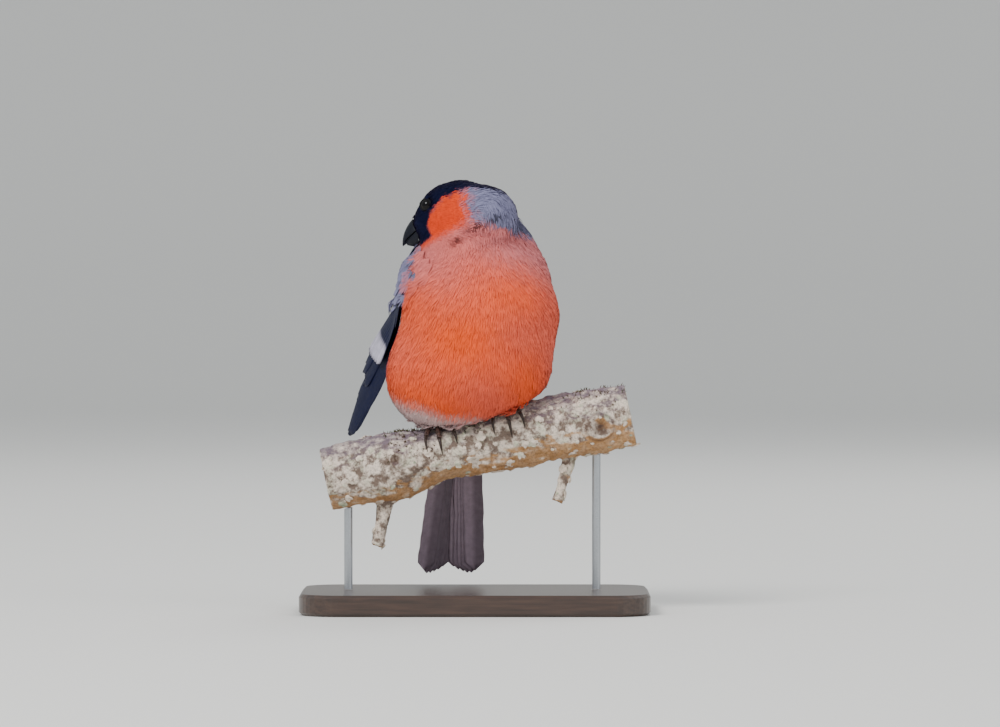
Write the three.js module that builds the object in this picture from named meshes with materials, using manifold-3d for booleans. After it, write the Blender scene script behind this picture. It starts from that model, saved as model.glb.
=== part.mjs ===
// A life-size male bullfinch as a still museum model: puffed up on a cut length of lichened branch,
// its head turned over its right shoulder, held on a plain display stand by two short rods.
// Millimetres, +Z up. The origin is the middle of the base's underside. The breast faces -Y.
import * as THREE from "three";
import { mergeVertices } from "three/addons/utils/BufferGeometryUtils.js";
import Module from "manifold-3d";

const wasm = await Module();
wasm.setup();

const rad = THREE.MathUtils.degToRad;
const V = (x, y, z) => new THREE.Vector3(x, y, z);
const mix = THREE.MathUtils.lerp;
const clamp = THREE.MathUtils.clamp;

// Driving dimensions of the whole model
const GAP = 0.35; // clearance kept between neighbouring pieces
const BODY_YAW = rad(15); // the bird's breast points a little to the model's +X side
const VANE = 0.55; // thickness of a flight feather

// The bird's own frame has +X to its left, -Y forward and +Z up, and turns by BODY_YAW about Z.
const birdToModel = new THREE.Matrix4().makeRotationZ(BODY_YAW);
const modelToBird = birdToModel.clone().invert();

// The body is a smooth union of egg-shaped masses: centre, half-lengths and forward lean in degrees
const BODY_BLEND = 7;
const BODY_MASSES = [
  { name: "shoulders", at: V(1.5, 0, 130), half: V(25.5, 19, 17), lean: 0 },
  { name: "breast", at: V(1.2, -4, 112), half: V(30.0, 25.5, 25), lean: -8 },
  { name: "belly", at: V(-2.2, -1, 93), half: V(31.2, 26, 22), lean: 0 },
  { name: "vent", at: V(-9, 4, 85), half: V(22.5, 22, 16.5), lean: 0 },
  { name: "back", at: V(0, 9, 112), half: V(23, 18, 27), lean: 10 },
  { name: "rump", at: V(-0.5, 16, 88), half: V(19, 14.5, 18), lean: 20 },
  { name: "neck", at: V(0.2, -2, 141), half: V(19.2, 15, 12), lean: 0 },
];

// The head: turned to the bird's right, bill lowered, crown leaning away from the breast side
const HEAD_TURN = rad(112);
const HEAD_PITCH = rad(25);
const HEAD_ROLL = rad(-16);
const HEAD_AT = V(-9.2, -2, 152.4);
const HEAD_BLEND = 3.2; // small, so that a crease stays between head and breast
const HEAD_MASS_BLEND = 4;
const HEAD_MASSES = [
  { name: "skull", at: V(0, 0, 0), half: V(11.2, 13.6, 10.2) },
  { name: "cheeks", at: V(0, -2.5, -3.5), half: V(10.4, 9.5, 7.6) },
  { name: "face", at: V(0, -11.3, -2.0), half: V(5.6, 5.4, 6.2) },
  { name: "nape", at: V(2.0, 10.5, -9.5), half: V(12.0, 12.0, 12.0) },
];
const headTurn = new THREE.Matrix4().makeRotationFromEuler(
  new THREE.Euler(HEAD_PITCH, HEAD_ROLL, -HEAD_TURN, "ZXY"),
);
const headToBird = headTurn.clone().setPosition(HEAD_AT);
const birdToHead = headToBird.clone().invert();

// Approximate signed distance from a point to an ellipsoid
function ellipsoidDistance(p, half) {
  const near = V(p.x / half.x, p.y / half.y, p.z / half.z).length();
  const slope = V(p.x / half.x ** 2, p.y / half.y ** 2, p.z / half.z ** 2).length();
  return slope < 1e-9 ? -Math.min(half.x, half.y, half.z) : (near * (near - 1)) / slope;
}

function smoothMin(a, b, blend) {
  const h = Math.max(blend - Math.abs(a - b), 0) / blend;
  return Math.min(a, b) - (h * h * blend) / 4;
}

const X_AXIS = V(1, 0, 0);

function bodyField(p) {
  let d = Infinity;
  for (const mass of BODY_MASSES) {
    const q = p.clone().sub(mass.at).applyAxisAngle(X_AXIS, rad(mass.lean));
    d = d === Infinity ? ellipsoidDistance(q, mass.half)
      : smoothMin(d, ellipsoidDistance(q, mass.half), BODY_BLEND);
  }
  return d;
}

function headField(p) {
  const local = p.clone().applyMatrix4(birdToHead);
  let d = Infinity;
  for (const mass of HEAD_MASSES) {
    const one = ellipsoidDistance(local.clone().sub(mass.at), mass.half);
    d = d === Infinity ? one : smoothMin(d, one, HEAD_MASS_BLEND);
  }
  return d;
}

const birdField = (p) => smoothMin(bodyField(p), headField(p), HEAD_BLEND);

// Distance from a point inside the field to its surface along a direction
function reach(field, from, direction, level, farthest) {
  let low = 0;
  let high = farthest;
  for (let step = 0; step < 26; step++) {
    const middle = (low + high) / 2;
    const inside = field(from.clone().addScaledVector(direction, middle)) < level;
    if (inside) low = middle;
    else high = middle;
  }
  return (low + high) / 2;
}

// Solids in and out of the boolean library
function solidOf(geometry) {
  const bare = new THREE.BufferGeometry();
  bare.setAttribute("position", geometry.getAttribute("position"));
  if (geometry.index) bare.setIndex(geometry.index);
  const merged = mergeVertices(bare, 1e-4);
  const vertProperties = new Float32Array(merged.attributes.position.array);
  const triVerts = new Uint32Array(merged.index.array);
  const build = () => new wasm.Manifold(new wasm.Mesh({ numProp: 3, vertProperties, triVerts }));
  const solid = build();
  if (solid.volume() > 0) return solid;
  for (let i = 0; i < triVerts.length; i += 3) { // its faces point inwards: turn them round
    [triVerts[i + 1], triVerts[i + 2]] = [triVerts[i + 2], triVerts[i + 1]];
  }
  return build();
}

function geometryOf(solid) {
  const mesh = solid.getMesh();
  const geometry = new THREE.BufferGeometry();
  geometry.setAttribute("position", new THREE.BufferAttribute(mesh.vertProperties, 3));
  geometry.setIndex(new THREE.BufferAttribute(mesh.triVerts, 1));
  geometry.computeVertexNormals();
  return geometry;
}

const joined = (solids) => solids.reduce((whole, piece) => whole.add(piece));

// The largest closed body of a solid, its slivers merged: scraps of a cut and hollows are dropped
const SLIVER = 0.05;
function largest(solid) {
  const bodies = solid.simplify(SLIVER).decompose();
  return bodies.reduce((best, body) => (body.volume() > best.volume() ? body : best));
}

// A solid moved by a matrix
const placed = (geometry, matrix) => solidOf(geometry.clone().applyMatrix4(matrix));

// A closed body seen from one inner point: a geodesic ball whose vertices move out to the field's surface
function starSolid(field, centre, detail, level, farthest) {
  const ball = new THREE.IcosahedronGeometry(1, detail);
  ball.deleteAttribute("normal");
  ball.deleteAttribute("uv");
  const merged = mergeVertices(ball, 1e-5);
  const position = merged.getAttribute("position");
  for (let i = 0; i < position.count; i++) {
    const direction = V(0, 0, 0).fromBufferAttribute(position, i).normalize();
    const far = reach(field, centre, direction, level, farthest);
    const point = centre.clone().addScaledVector(direction, far);
    position.setXYZ(i, point.x, point.y, point.z);
  }
  return solidOf(merged);
}

// A closed skin over rings of points, all with the same number, with a fan over each end
function loft(rings) {
  const sides = rings[0].length;
  const points = rings.flat();
  const faces = [];
  for (let r = 0; r + 1 < rings.length; r++) {
    for (let i = 0; i < sides; i++) {
      const a = r * sides + i;
      const b = r * sides + ((i + 1) % sides);
      faces.push(a, b, b + sides, a, b + sides, a + sides);
    }
  }
  for (const [ring, flip] of [[0, true], [rings.length - 1, false]]) {
    const middle = points.length;
    points.push(rings[ring].reduce((sum, p) => sum.add(p), V(0, 0, 0)).divideScalar(sides));
    for (let i = 0; i < sides; i++) {
      const a = ring * sides + i;
      const b = ring * sides + ((i + 1) % sides);
      faces.push(...(flip ? [middle, b, a] : [middle, a, b]));
    }
  }
  const geometry = new THREE.BufferGeometry().setFromPoints(points);
  geometry.setIndex(faces);
  return geometry;
}

// A round limb along a curve, its radius given from 0 at the start to 1 at the end
function limb(curve, radiusAt, steps, sides) {
  const rings = [];
  let side = null;
  for (let i = 0; i <= steps; i++) {
    const t = i / steps;
    const along = curve.getTangent(t);
    if (!side) side = V(0, 0, 1).cross(along).lengthSq() > 0.05 ? V(0, 0, 1) : V(0, 1, 0);
    side = side.clone().addScaledVector(along, -side.dot(along)).normalize();
    const other = along.clone().cross(side);
    const centre = curve.getPoint(t);
    const ring = [];
    for (let k = 0; k < sides; k++) {
      const angle = (2 * Math.PI * k) / sides;
      ring.push(
        centre.clone()
          .addScaledVector(side, Math.cos(angle) * radiusAt(t))
          .addScaledVector(other, Math.sin(angle) * radiusAt(t)),
      );
    }
    rings.push(ring);
  }
  return loft(rings);
}

// A sheet that feathers lie on: "along" runs to their tips, "across" over the fan, "out" away from the body
class Sheet {
  constructor(origin, along, out, height) {
    this.origin = origin;
    this.along = along.clone().normalize();
    this.out = out.clone().addScaledVector(this.along, -out.dot(this.along)).normalize();
    this.across = this.out.clone().cross(this.along).normalize();
    this.height = height;
  }

  flat(a, b, c) {
    return this.origin.clone()
      .addScaledVector(this.along, a)
      .addScaledVector(this.across, b)
      .addScaledVector(this.out, c);
  }

  point(a, b, c) {
    return this.flat(a, b, c + this.height(a, b));
  }
}

// Width of a feather from root to tip, as a share of its full width
const LONG_FEATHER = { stations: [0, 0.45, 0.86, 1], widths: [0.5, 0.92, 0.92, 0.36] };
const SHORT_FEATHER = { stations: [0, 0.72, 1], widths: [0.7, 1, 0.45] };

// One feather as a closed blade. Both faces are split into triangles alike.
function vane(sheet, { root, tip, width, lift, thick = VANE, sweep = 0, tilt = 0.4 }) {
  const { stations, widths } = tip[0] - root[0] > 30 ? LONG_FEATHER : SHORT_FEATHER;
  const direction = new THREE.Vector2(tip[0] - root[0], tip[1] - root[1]).normalize();
  const rings = stations.map((t, row) => {
    const bow = sweep * Math.sin(Math.PI * t);
    const a = mix(root[0], tip[0], t) - direction.y * bow;
    const b = mix(root[1], tip[1], t) + direction.x * bow;
    const half = (widths[row] * width) / 2;
    const body = row === stations.length - 1 ? thick * 0.7 : thick;
    const corner = (side, drop) => {
      const height = mix(lift[0], lift[1], t) + side * tilt * widths[row] - drop;
      return sheet.point(a - direction.y * half * side, b + direction.x * half * side, height);
    };
    return [corner(-1, 0), corner(1, 0), corner(1, body), corner(-1, body)];
  });
  const faces = [0, 1, 2, 0, 2, 3];
  for (let row = 0; row + 1 < rings.length; row++) {
    const p = row * 4;
    const q = p + 4;
    faces.push(p, q, q + 1, p, q + 1, p + 1); // upper face
    faces.push(p + 3, q + 2, q + 3, p + 3, p + 2, q + 2); // lower face, split the same way
    faces.push(p + 1, q + 1, q + 2, p + 1, q + 2, p + 2);
    faces.push(p + 3, q + 3, q, p + 3, q, p);
  }
  const last = (rings.length - 1) * 4;
  faces.push(last, last + 2, last + 1, last, last + 3, last + 2);
  const geometry = new THREE.BufferGeometry().setFromPoints(rings.flat());
  geometry.setIndex(faces);
  return solidOf(geometry);
}

// A shallow dome on a sheet, which feather roots are sunk in
function domeOn(sheet, { centre, half, rise, depth }) {
  const rings = [];
  const sides = 14;
  const levels = [[0.45, 0.9], [0.82, 0.55], [1, 0.05], [0.95, -0.8], [0.45, -1]];
  for (const [spread, level] of levels) {
    const ring = [];
    for (let k = 0; k < sides; k++) {
      const angle = (2 * Math.PI * k) / sides;
      const a = centre[0] + half[0] * spread * Math.cos(angle);
      const b = centre[1] + half[1] * spread * Math.sin(angle);
      ring.push(sheet.point(a, b, level > 0 ? level * rise : level * depth));
    }
    rings.push(ring);
  }
  return solidOf(loft(rings));
}

// The perch: a sawn length of branch that climbs to +X, with lumps, a thin waist and two cut twigs
const PERCH_SLOPE = rad(12);
const PERCH_MIDDLE = V(0, 0, 62.9);
const PERCH_FROM = -58;
const PERCH_TO = 60;
const PERCH_RADIUS = 11.8;
const perchAlong = V(Math.cos(PERCH_SLOPE), 0, Math.sin(PERCH_SLOPE));
const perchUp = V(-Math.sin(PERCH_SLOPE), 0, Math.cos(PERCH_SLOPE));
const PERCH_LUMPS = [
  { at: -31, length: 12, grow: 1.5 },
  { at: -13, length: 9, grow: -1.3 },
  { at: 46, length: 13, grow: 1.0 },
];

const perchCentre = (s) =>
  PERCH_MIDDLE.clone()
    .addScaledVector(perchAlong, s)
    .addScaledVector(perchUp, 0.8 * Math.sin(s / 17 + 0.6) - 0.45)
    .add(V(0, 0.9 * Math.sin(s / 21), 0));

function perchRadius(s, angle) {
  let radius = PERCH_RADIUS;
  for (const lump of PERCH_LUMPS) {
    radius += lump.grow * Math.exp(-(((s - lump.at) / lump.length) ** 2));
  }
  radius += 0.45 * Math.sin(2 * angle + s / 11) + 0.3 * Math.sin(3 * angle - s / 7 + 1);
  return radius + 0.22 * Math.sin(5 * angle + s / 4);
}

// A point on the perch: distance along it, angle from its top towards the breast side, and height off the bark
function onPerch(s, angle, height) {
  const radius = perchRadius(s, angle) + height;
  return perchCentre(s)
    .addScaledVector(perchUp, Math.cos(angle) * radius)
    .add(V(0, -Math.sin(angle) * radius, 0));
}

const TWIGS = [
  { name: "left", s: -36, angle: rad(176), way: V(-0.3, -0.05, -1), length: 17, radius: [4.0, 2.6] },
  { name: "right", s: 37, angle: rad(178), way: V(-0.45, -0.05, -1), length: 19, radius: [3.4, 2.3] },
];

function perchSolid(grow, stations, sides) {
  const rings = [];
  for (let i = 0; i <= stations; i++) {
    const s = mix(PERCH_FROM, PERCH_TO, i / stations);
    const ring = [];
    for (let k = 0; k < sides; k++) ring.push(onPerch(s, (-2 * Math.PI * k) / sides, grow));
    rings.push(ring);
  }
  const trunk = solidOf(loft(rings));
  const twigs = TWIGS.map(({ s, angle, way, length, radius }) => {
    const start = onPerch(s, angle, -6);
    const out = way.clone().normalize();
    const end = onPerch(s, angle, 0).addScaledVector(out, length);
    const bend = start.clone().lerp(end, 0.5).add(V(0.8, 0, 0));
    const curve = new THREE.QuadraticBezierCurve3(start, bend, end);
    const swell = (t) => mix(radius[0], radius[1], Math.min(1, t * 1.6)) + grow;
    return solidOf(limb(curve, swell, 6, 10));
  });
  return joined([trunk, ...twigs]);
}

// Named cuts through the whole bird, in its own frame: a point and the normal of the head's side
const modelNormal = (degrees) =>
  V(-Math.sin(rad(degrees)), 0, Math.cos(rad(degrees))).transformDirection(modelToBird);
const HEAD_CUT = { through: V(0, -2, 146.2), normal: modelNormal(16) };
const NECK_CUT = { through: V(0, -2, 139.4), normal: modelNormal(12) };

function trimmed(solid, cut, keepHeadSide) {
  const side = keepHeadSide ? 1 : -1;
  const normal = cut.normal.clone().multiplyScalar(side);
  const offset = normal.dot(cut.through) + GAP / 2;
  return solid.trimByPlane([normal.x, normal.y, normal.z], offset);
}

// Torso: cut clear of the branch so that the toes have room between belly and bark
const TORSO_AT = V(0, 0, 106);
const TORSO_DETAIL = 8;
const BELLY_LIFT = 2.9; // room for the toes between belly and bark
const POCKET = V(4.6, 4.6, 6.2); // the hollow in the belly feathers that each shank comes out of

// The hollow over a foot, smaller by "shrink" all round
function pocket(foot, shrink) {
  const ball = new THREE.SphereGeometry(1, 14, 10);
  ball.scale(POCKET.x - shrink, POCKET.y - shrink, POCKET.z - shrink);
  const at = onPerch(foot.s, FOOT_ANGLE, 3.4).applyMatrix4(modelToBird);
  return solidOf(ball.translate(at.x, at.y, at.z));
}

function torsoSolid() {
  const whole = starSolid(bodyField, TORSO_AT, TORSO_DETAIL, 0, 90);
  let torso = trimmed(whole, NECK_CUT, false);
  torso = torso.subtract(perchSolid(BELLY_LIFT, 30, 20).transform(modelToBird.elements));
  for (const foot of Object.values(FEET)) torso = torso.subtract(pocket(foot, 0));
  return largest(torso);
}

// Neck: the short collar between head and torso
const NECK_AT = V(0, -2, 142.5);
const neckSolid = () =>
  largest(trimmed(trimmed(starSolid(birdField, NECK_AT, 5, 0, 40), HEAD_CUT, false), NECK_CUT, true));

// Eyes and their lids, in the head's frame
const EYE_RADIUS = 2.7;
const EYE_FORWARD = 5.6;
const EYE_UP = 2.4;
const EYE_STANDS_OUT = 1.0; // how far the eyeball passes the feathers round it
const LID_RADIUS = 2.55;
const LID_ROLL = 0.62;

// Where an eye sits: on the head's surface, looking out and a little forward
function eyePlace(side) {
  const look = V(side * 0.95, -0.26, 0.1).normalize();
  const start = V(0, -EYE_FORWARD, EYE_UP);
  const origin = start.clone().applyMatrix4(headToBird);
  const direction = look.clone().transformDirection(headTurn);
  const far = reach(birdField, origin, direction, 0, 30);
  const surface = start.clone().addScaledVector(look, far);
  return { look, centre: surface.clone().addScaledVector(look, EYE_STANDS_OUT - EYE_RADIUS) };
}

function eyeBall(side, grow, segments) {
  const { centre } = eyePlace(side);
  const ball = new THREE.SphereGeometry(EYE_RADIUS + grow, segments, segments / 2);
  ball.translate(centre.x, centre.y, centre.z);
  return placed(ball, headToBird);
}

// A raised ring of lid round an eye
function lid(side) {
  const { look, centre } = eyePlace(side);
  const ring = new THREE.TorusGeometry(LID_RADIUS, LID_ROLL, 5, 14);
  ring.applyQuaternion(new THREE.Quaternion().setFromUnitVectors(V(0, 0, 1), look));
  const at = centre.clone().addScaledVector(look, EYE_RADIUS - EYE_STANDS_OUT - 0.15);
  ring.translate(at.x, at.y, at.z);
  return placed(ring, headToBird);
}

// Bill, in the head's frame: lengths run forward from BILL_BASE, heights are above the head's middle
const BILL_BASE = 11.2;
const BILL_LENGTH = 12.0;
const BILL_STEPS = 9;
const BILL_SIDES = 10;
const culmen = (t) => -5.8 + 9.8 * Math.pow(1 - Math.pow(t, 1.9), 0.62);
const mouthLine = (t) => mix(-2.6, -4.3, Math.pow(t, 1.4));
const gonys = (t) => mix(-9.4, -5.3, Math.pow(t, 2.0));
const billHalfWidth = (t) => 4.5 * Math.pow(1 - Math.pow(t, 1.7), 0.72) + 0.25;

// One mandible: rounded on its outer side and flat along the mouth
function mandible(length, outer, inner) {
  const rings = [];
  for (let i = 0; i <= BILL_STEPS; i++) {
    const t = Math.sin((Math.PI / 2) * (i / BILL_STEPS)) * 0.985;
    const ring = [];
    for (let k = 0; k < BILL_SIDES; k++) {
      const angle = (Math.PI * k) / (BILL_SIDES - 1);
      const x = Math.cos(angle) * billHalfWidth(t);
      const z = mix(inner(t), outer(t), Math.pow(Math.sin(angle), 0.85));
      ring.push(V(x, -(BILL_BASE + length * t), z));
    }
    rings.push(ring);
  }
  return placed(loft(rings), headToBird);
}

// A small pit on each side of the upper mandible
function nostril(side) {
  const pit = new THREE.SphereGeometry(0.62, 8, 6);
  pit.scale(1, 1.35, 0.8);
  pit.translate(side * 3.55, -(BILL_BASE + 3.7), 0.05);
  return placed(pit, headToBird);
}

const HOOK = 0.5; // how far the upper tip turns down past the mouth line
function billSolids(...keepOut) {
  const upperEdge = (t) => mouthLine(t) + GAP / 2 - HOOK * Math.pow(t, 8) * 2;
  const lowerEdge = (t) => mouthLine(t) - GAP / 2;
  let upper = mandible(BILL_LENGTH, culmen, upperEdge);
  let lower = mandible(BILL_LENGTH * 0.86, gonys, lowerEdge);
  for (const side of [-1, 1]) upper = upper.subtract(nostril(side));
  for (const solid of keepOut) [upper, lower] = [upper.subtract(solid), lower.subtract(solid)];
  return { upper: largest(upper), lower: largest(lower) };
}

// Head with its sockets, lids and the corners of the mouth
const HEAD_DETAIL = 7;
const GAPE_DEPTH = 3.0;
function headSolid(extra = 0) {
  return trimmed(starSolid(birdField, HEAD_AT, HEAD_DETAIL, extra, 45), HEAD_CUT, true);
}

function finishedHead() {
  let head = joined([headSolid(), lid(1), lid(-1)]);
  for (const side of [-1, 1]) head = head.subtract(eyeBall(side, GAP, 14));
  const slot = new THREE.BoxGeometry(14, GAPE_DEPTH * 2, GAP);
  slot.rotateX(rad(8));
  slot.translate(0, -(BILL_BASE + 2.4), mouthLine(0.05));
  return largest(head.subtract(placed(slot, headToBird)));
}

// Wings: the sheet of each runs from the wrist to the tip of the longest primary
const WINGS = {
  right: { wrist: V(-20.5, -7.5, 125.5), tip: V(-39.2, 34, 65.5), out: V(-0.95, 0.0, 0.2) },
  left: { wrist: V(24, -2, 126.5), tip: V(19, 37, 63.5), out: V(0.9, 0.25, 0.3) },
};
const WING_WRAP = 34; // radius that the folded wing curves to, over the back
const WING_CLEAR = 0.5; // least distance from the torso to the wing's underside

// Height of the torso over a wing's flat sheet, found from outside
function torsoHeight(sheet, a, b) {
  const start = 26;
  const inward = sheet.out.clone().negate();
  for (let d = 0; d < 60; d += 1) {
    const p = sheet.flat(a, b, start).addScaledVector(inward, d);
    if (bodyField(p) > 0) continue;
    const back = sheet.flat(a, b, start - d);
    return start - d + reach((q) => bodyField(q), back, sheet.out, 0, 1.2);
  }
  return -Infinity;
}

function wingSheet({ wrist, tip, out }) {
  const along = tip.clone().sub(wrist);
  const sheet = new Sheet(wrist, along, out, () => 0);
  if (sheet.across.y < 0) sheet.across.negate(); // "across" runs from the belly to the back
  sheet.height = (a, b) => {
    const curve = -((b - 6) ** 2) / (2 * WING_WRAP) * clamp(1.1 - a / 160, 0.4, 1);
    const body = torsoHeight(sheet, a, b) + WING_CLEAR + VANE;
    return -smoothMin(-curve, -Math.max(body, -30), 2.5);
  };
  return sheet;
}

// Feather groups of a folded wing: from the bottom layer to the top one
function wingFeathers() {
  const feathers = [];
  const PRIMARY_TIPS = [74.5, 77.5, 77, 74, 69.5, 65.5, 63];
  PRIMARY_TIPS.forEach((length, i) => {
    feathers.push({
      root: [8 + i, 3.5 + 0.9 * i], tip: [length, 3.2 + 1.15 * i],
      width: 7.4, lift: [0.1 + 0.1 * i, 0.1 + 0.3 * i], sweep: -2.2,
    });
  });
  const SECONDARY_TIPS = [56.5, 55, 53.5, 52.5];
  SECONDARY_TIPS.forEach((length, i) => {
    feathers.push({
      root: [12 + i, 9 + 2.2 * i], tip: [length, 8.5 + 2.4 * i],
      width: 8.2, lift: [0.6 + 0.1 * i, 2.1 + 0.26 * i], sweep: -0.8,
    });
  });
  const TERTIAL_TIPS = [49, 45, 38.5];
  TERTIAL_TIPS.forEach((length, i) => {
    feathers.push({
      root: [13, 13 + 2.2 * i], tip: [length, 15.6 + 2.4 * i],
      width: 9.4, lift: [1.2, 3.2 + 0.42 * i],
    });
  });
  for (let i = 0; i < 3; i++) {
    feathers.push({
      root: [3 + i, 1.6 + 1.6 * i], tip: [24.5 + 1.4 * i, 0.9 + 2.3 * i],
      width: 5.4, lift: [0.9, 1.5 + 0.5 * i],
    });
  }
  const COVERTS = 6;
  for (let i = 0; i < COVERTS; i++) {
    feathers.push({
      root: [11 + 0.3 * i, 4 + 2.8 * i], tip: [32.5 - 0.9 * i, 3.6 + 3.3 * i],
      width: 6.6, lift: [1.3, 3.5 + 0.3 * i],
    });
  }
  const MEDIANS = 5;
  for (let i = 0; i < MEDIANS; i++) {
    feathers.push({
      root: [4 + 0.7 * i, 4 + 3.0 * i], tip: [17 - 0.3 * i, 3.4 + 3.5 * i],
      width: 6.2, lift: [1.4, 4.3 + 0.12 * i], thick: 0.6,
    });
  }
  return feathers;
}

function wingSolid(wing, keepOut) {
  const sheet = wingSheet(wing);
  const shoulder = domeOn(sheet, { centre: [10.5, 9], half: [12, 10], rise: 3.0, depth: 0.5 });
  const hand = domeOn(sheet, { centre: [20, 8], half: [13, 7.5], rise: 1.4, depth: 0.45 });
  const vanes = wingFeathers().map((feather) => vane(sheet, feather));
  return largest(joined([shoulder, hand, ...vanes]).subtract(keepOut));
}

// Tail: twelve feathers in a shallow roof, the middle pair on top, with a short notch at the end
const TAIL_ROOT = V(0.8, 26.5, 82);
const TAIL_ALONG = V(0.0, 0.25, -0.966);
const TAIL_ROOF = 0.14;
const TAIL_LENGTHS = [69.4, 70.4, 71, 71.4, 71.2, 70.2];
const TAIL_SPREAD = [2.0, 4.0, 5.8, 7.4, 8.8, 9.9];

function tailSolid(keepOut) {
  const sheet = new Sheet(TAIL_ROOT, TAIL_ALONG, V(0, 1, 0.26), (a, b) => -TAIL_ROOF * Math.abs(b));
  const pieces = [domeOn(sheet, { centre: [0, 0], half: [13, 9], rise: 3.0, depth: 4.5 })];
  for (let i = 5; i >= 0; i--) {
    for (const side of [-1, 1]) {
      const offset = side > 0 ? 0.14 : 0;
      pieces.push(vane(sheet, {
        root: [2, side * (0.8 + 0.75 * i)], tip: [TAIL_LENGTHS[i], side * TAIL_SPREAD[i]],
        width: 7.6, lift: [-0.2 - 0.2 * i + offset, 0.2 - 0.36 * i + offset],
      }));
    }
  }
  for (let i = -1; i <= 1; i++) {
    pieces.push(vane(sheet, {
      root: [0, i * 3.6], tip: [25 - 2.5 * Math.abs(i), i * 4.4],
      width: 8, lift: [1.0, 1.3 - 0.2 * Math.abs(i)],
    }));
    pieces.push(vane(sheet, {
      root: [0, i * 3.6], tip: [22 - 2.5 * Math.abs(i), i * 4.2],
      width: 8, lift: [-2.4, -2.7 + 0.2 * Math.abs(i)],
    }));
  }
  return largest(joined(pieces).subtract(keepOut));
}

// Feet: three toes over the front of the branch and one behind, each with a curved claw
const FEET = { right: { s: -12.2, turn: -1 }, left: { s: 14.2, turn: 1 } };
const TOE_RADIUS = 1.15;
const TOE_SIT = TOE_RADIUS + GAP + 0.1;
const TOES = [
  { name: "inner", spread: -5.2, reach: rad(50), claw: rad(27) },
  { name: "middle", spread: 0.3, reach: rad(60), claw: rad(30) },
  { name: "outer", spread: 5.0, reach: rad(50), claw: rad(27) },
  { name: "hind", spread: 0.6, reach: rad(-46), claw: rad(-32) },
];
const FOOT_ANGLE = rad(4); // the toes part just on the breast side of the branch's top

function toePath(foot, toe, from, to, heights) {
  const points = heights.map((height, i) => {
    const angle = mix(from, to, i / (heights.length - 1));
    const out = clamp((angle - FOOT_ANGLE) / (toe.reach - FOOT_ANGLE), 0, 1.3);
    return onPerch(foot.s + foot.turn * toe.spread * Math.sqrt(out), angle, height)
      .applyMatrix4(modelToBird);
  });
  return new THREE.CatmullRomCurve3(points);
}

const PALM_LIFT = 2.15; // height of the palm's middle over the bark
const PALM = V(2.05, 1.95, 1.6);

function palmSolid(foot, grow) {
  const ball = new THREE.SphereGeometry(1, 10, 6);
  ball.scale(PALM.x + grow, PALM.y + grow, PALM.z + grow);
  const at = onPerch(foot.s, FOOT_ANGLE, PALM_LIFT).applyMatrix4(modelToBird);
  return solidOf(ball.translate(at.x, at.y, at.z));
}

const knuckles = (t) => TOE_RADIUS * (1.02 - 0.18 * t + 0.07 * Math.cos(t * 6 * Math.PI));

function footSolid(foot) {
  const toes = TOES.map((toe) => {
    const path = toePath(foot, toe, FOOT_ANGLE, toe.reach, [1.75, TOE_SIT, TOE_SIT, TOE_SIT, TOE_SIT]);
    return solidOf(limb(path, knuckles, 7, 6));
  });
  return largest(joined([...toes, palmSolid(foot, 0)]));
}

const CLAW_GAP = rad(1.8);
function clawSolid(foot, toe) {
  const way = Math.sign(toe.claw);
  const from = toe.reach + way * CLAW_GAP;
  const path = toePath(foot, toe, from, from + toe.claw, [TOE_SIT, 1.9, 1.5, 0.85, 0.5]);
  return largest(solidOf(limb(path, (t) => mix(0.78, 0.14, Math.pow(t, 1.3)), 6, 6)));
}

// Legs: the short bare length of each shank between foot and belly feathers
const SHANK_RADIUS = 1.15;
function legSolid(foot) {
  const start = onPerch(foot.s, FOOT_ANGLE, PALM_LIFT).applyMatrix4(modelToBird);
  const end = start.clone().add(V(foot.turn * -0.6, 1.6, 9));
  const curve = new THREE.LineCurve3(start, end);
  const shank = solidOf(limb(curve, () => SHANK_RADIUS, 4, 10));
  return largest(shank.intersect(pocket(foot, GAP)).subtract(palmSolid(foot, GAP)));
}

// Display stand
const BASE = { length: 132, depth: 84, thick: 8, corner: 14, edge: 1.2 };
const RODS = [{ name: "stand_rod_left", x: -48 }, { name: "stand_rod_right", x: 46 }];
const ROD_RADIUS = 1.6;

function baseGeometry() {
  const { length, depth, thick, corner, edge } = BASE;
  const [w, d] = [length / 2 - edge, depth / 2 - edge];
  const outline = new THREE.Shape();
  outline.moveTo(-w + corner, -d);
  outline.lineTo(w - corner, -d);
  outline.absarc(w - corner, -d + corner, corner, -Math.PI / 2, 0);
  outline.absarc(w - corner, d - corner, corner, 0, Math.PI / 2);
  outline.absarc(-w + corner, d - corner, corner, Math.PI / 2, Math.PI);
  outline.absarc(-w + corner, -d + corner, corner, Math.PI, 1.5 * Math.PI);
  const slab = new THREE.ExtrudeGeometry(outline, {
    depth: thick - 2 * edge, bevelEnabled: true, bevelSize: edge, bevelThickness: edge,
    bevelSegments: 1, curveSegments: 5,
  });
  slab.translate(0, 0, edge);
  return slab;
}

function rodSolid({ x }, keepOut) {
  const top = PERCH_MIDDLE.z + Math.tan(PERCH_SLOPE) * x;
  const rod = new THREE.CylinderGeometry(ROD_RADIUS, ROD_RADIUS, top - BASE.thick - GAP, 20);
  rod.rotateX(Math.PI / 2);
  rod.translate(x, perchCentre(x / Math.cos(PERCH_SLOPE)).y, (top + BASE.thick + GAP) / 2);
  const low = solidOf(rod).subtract(keepOut).decompose();
  return low.reduce((a, b) => (a.boundingBox().min[2] < b.boundingBox().min[2] ? a : b));
}

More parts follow.
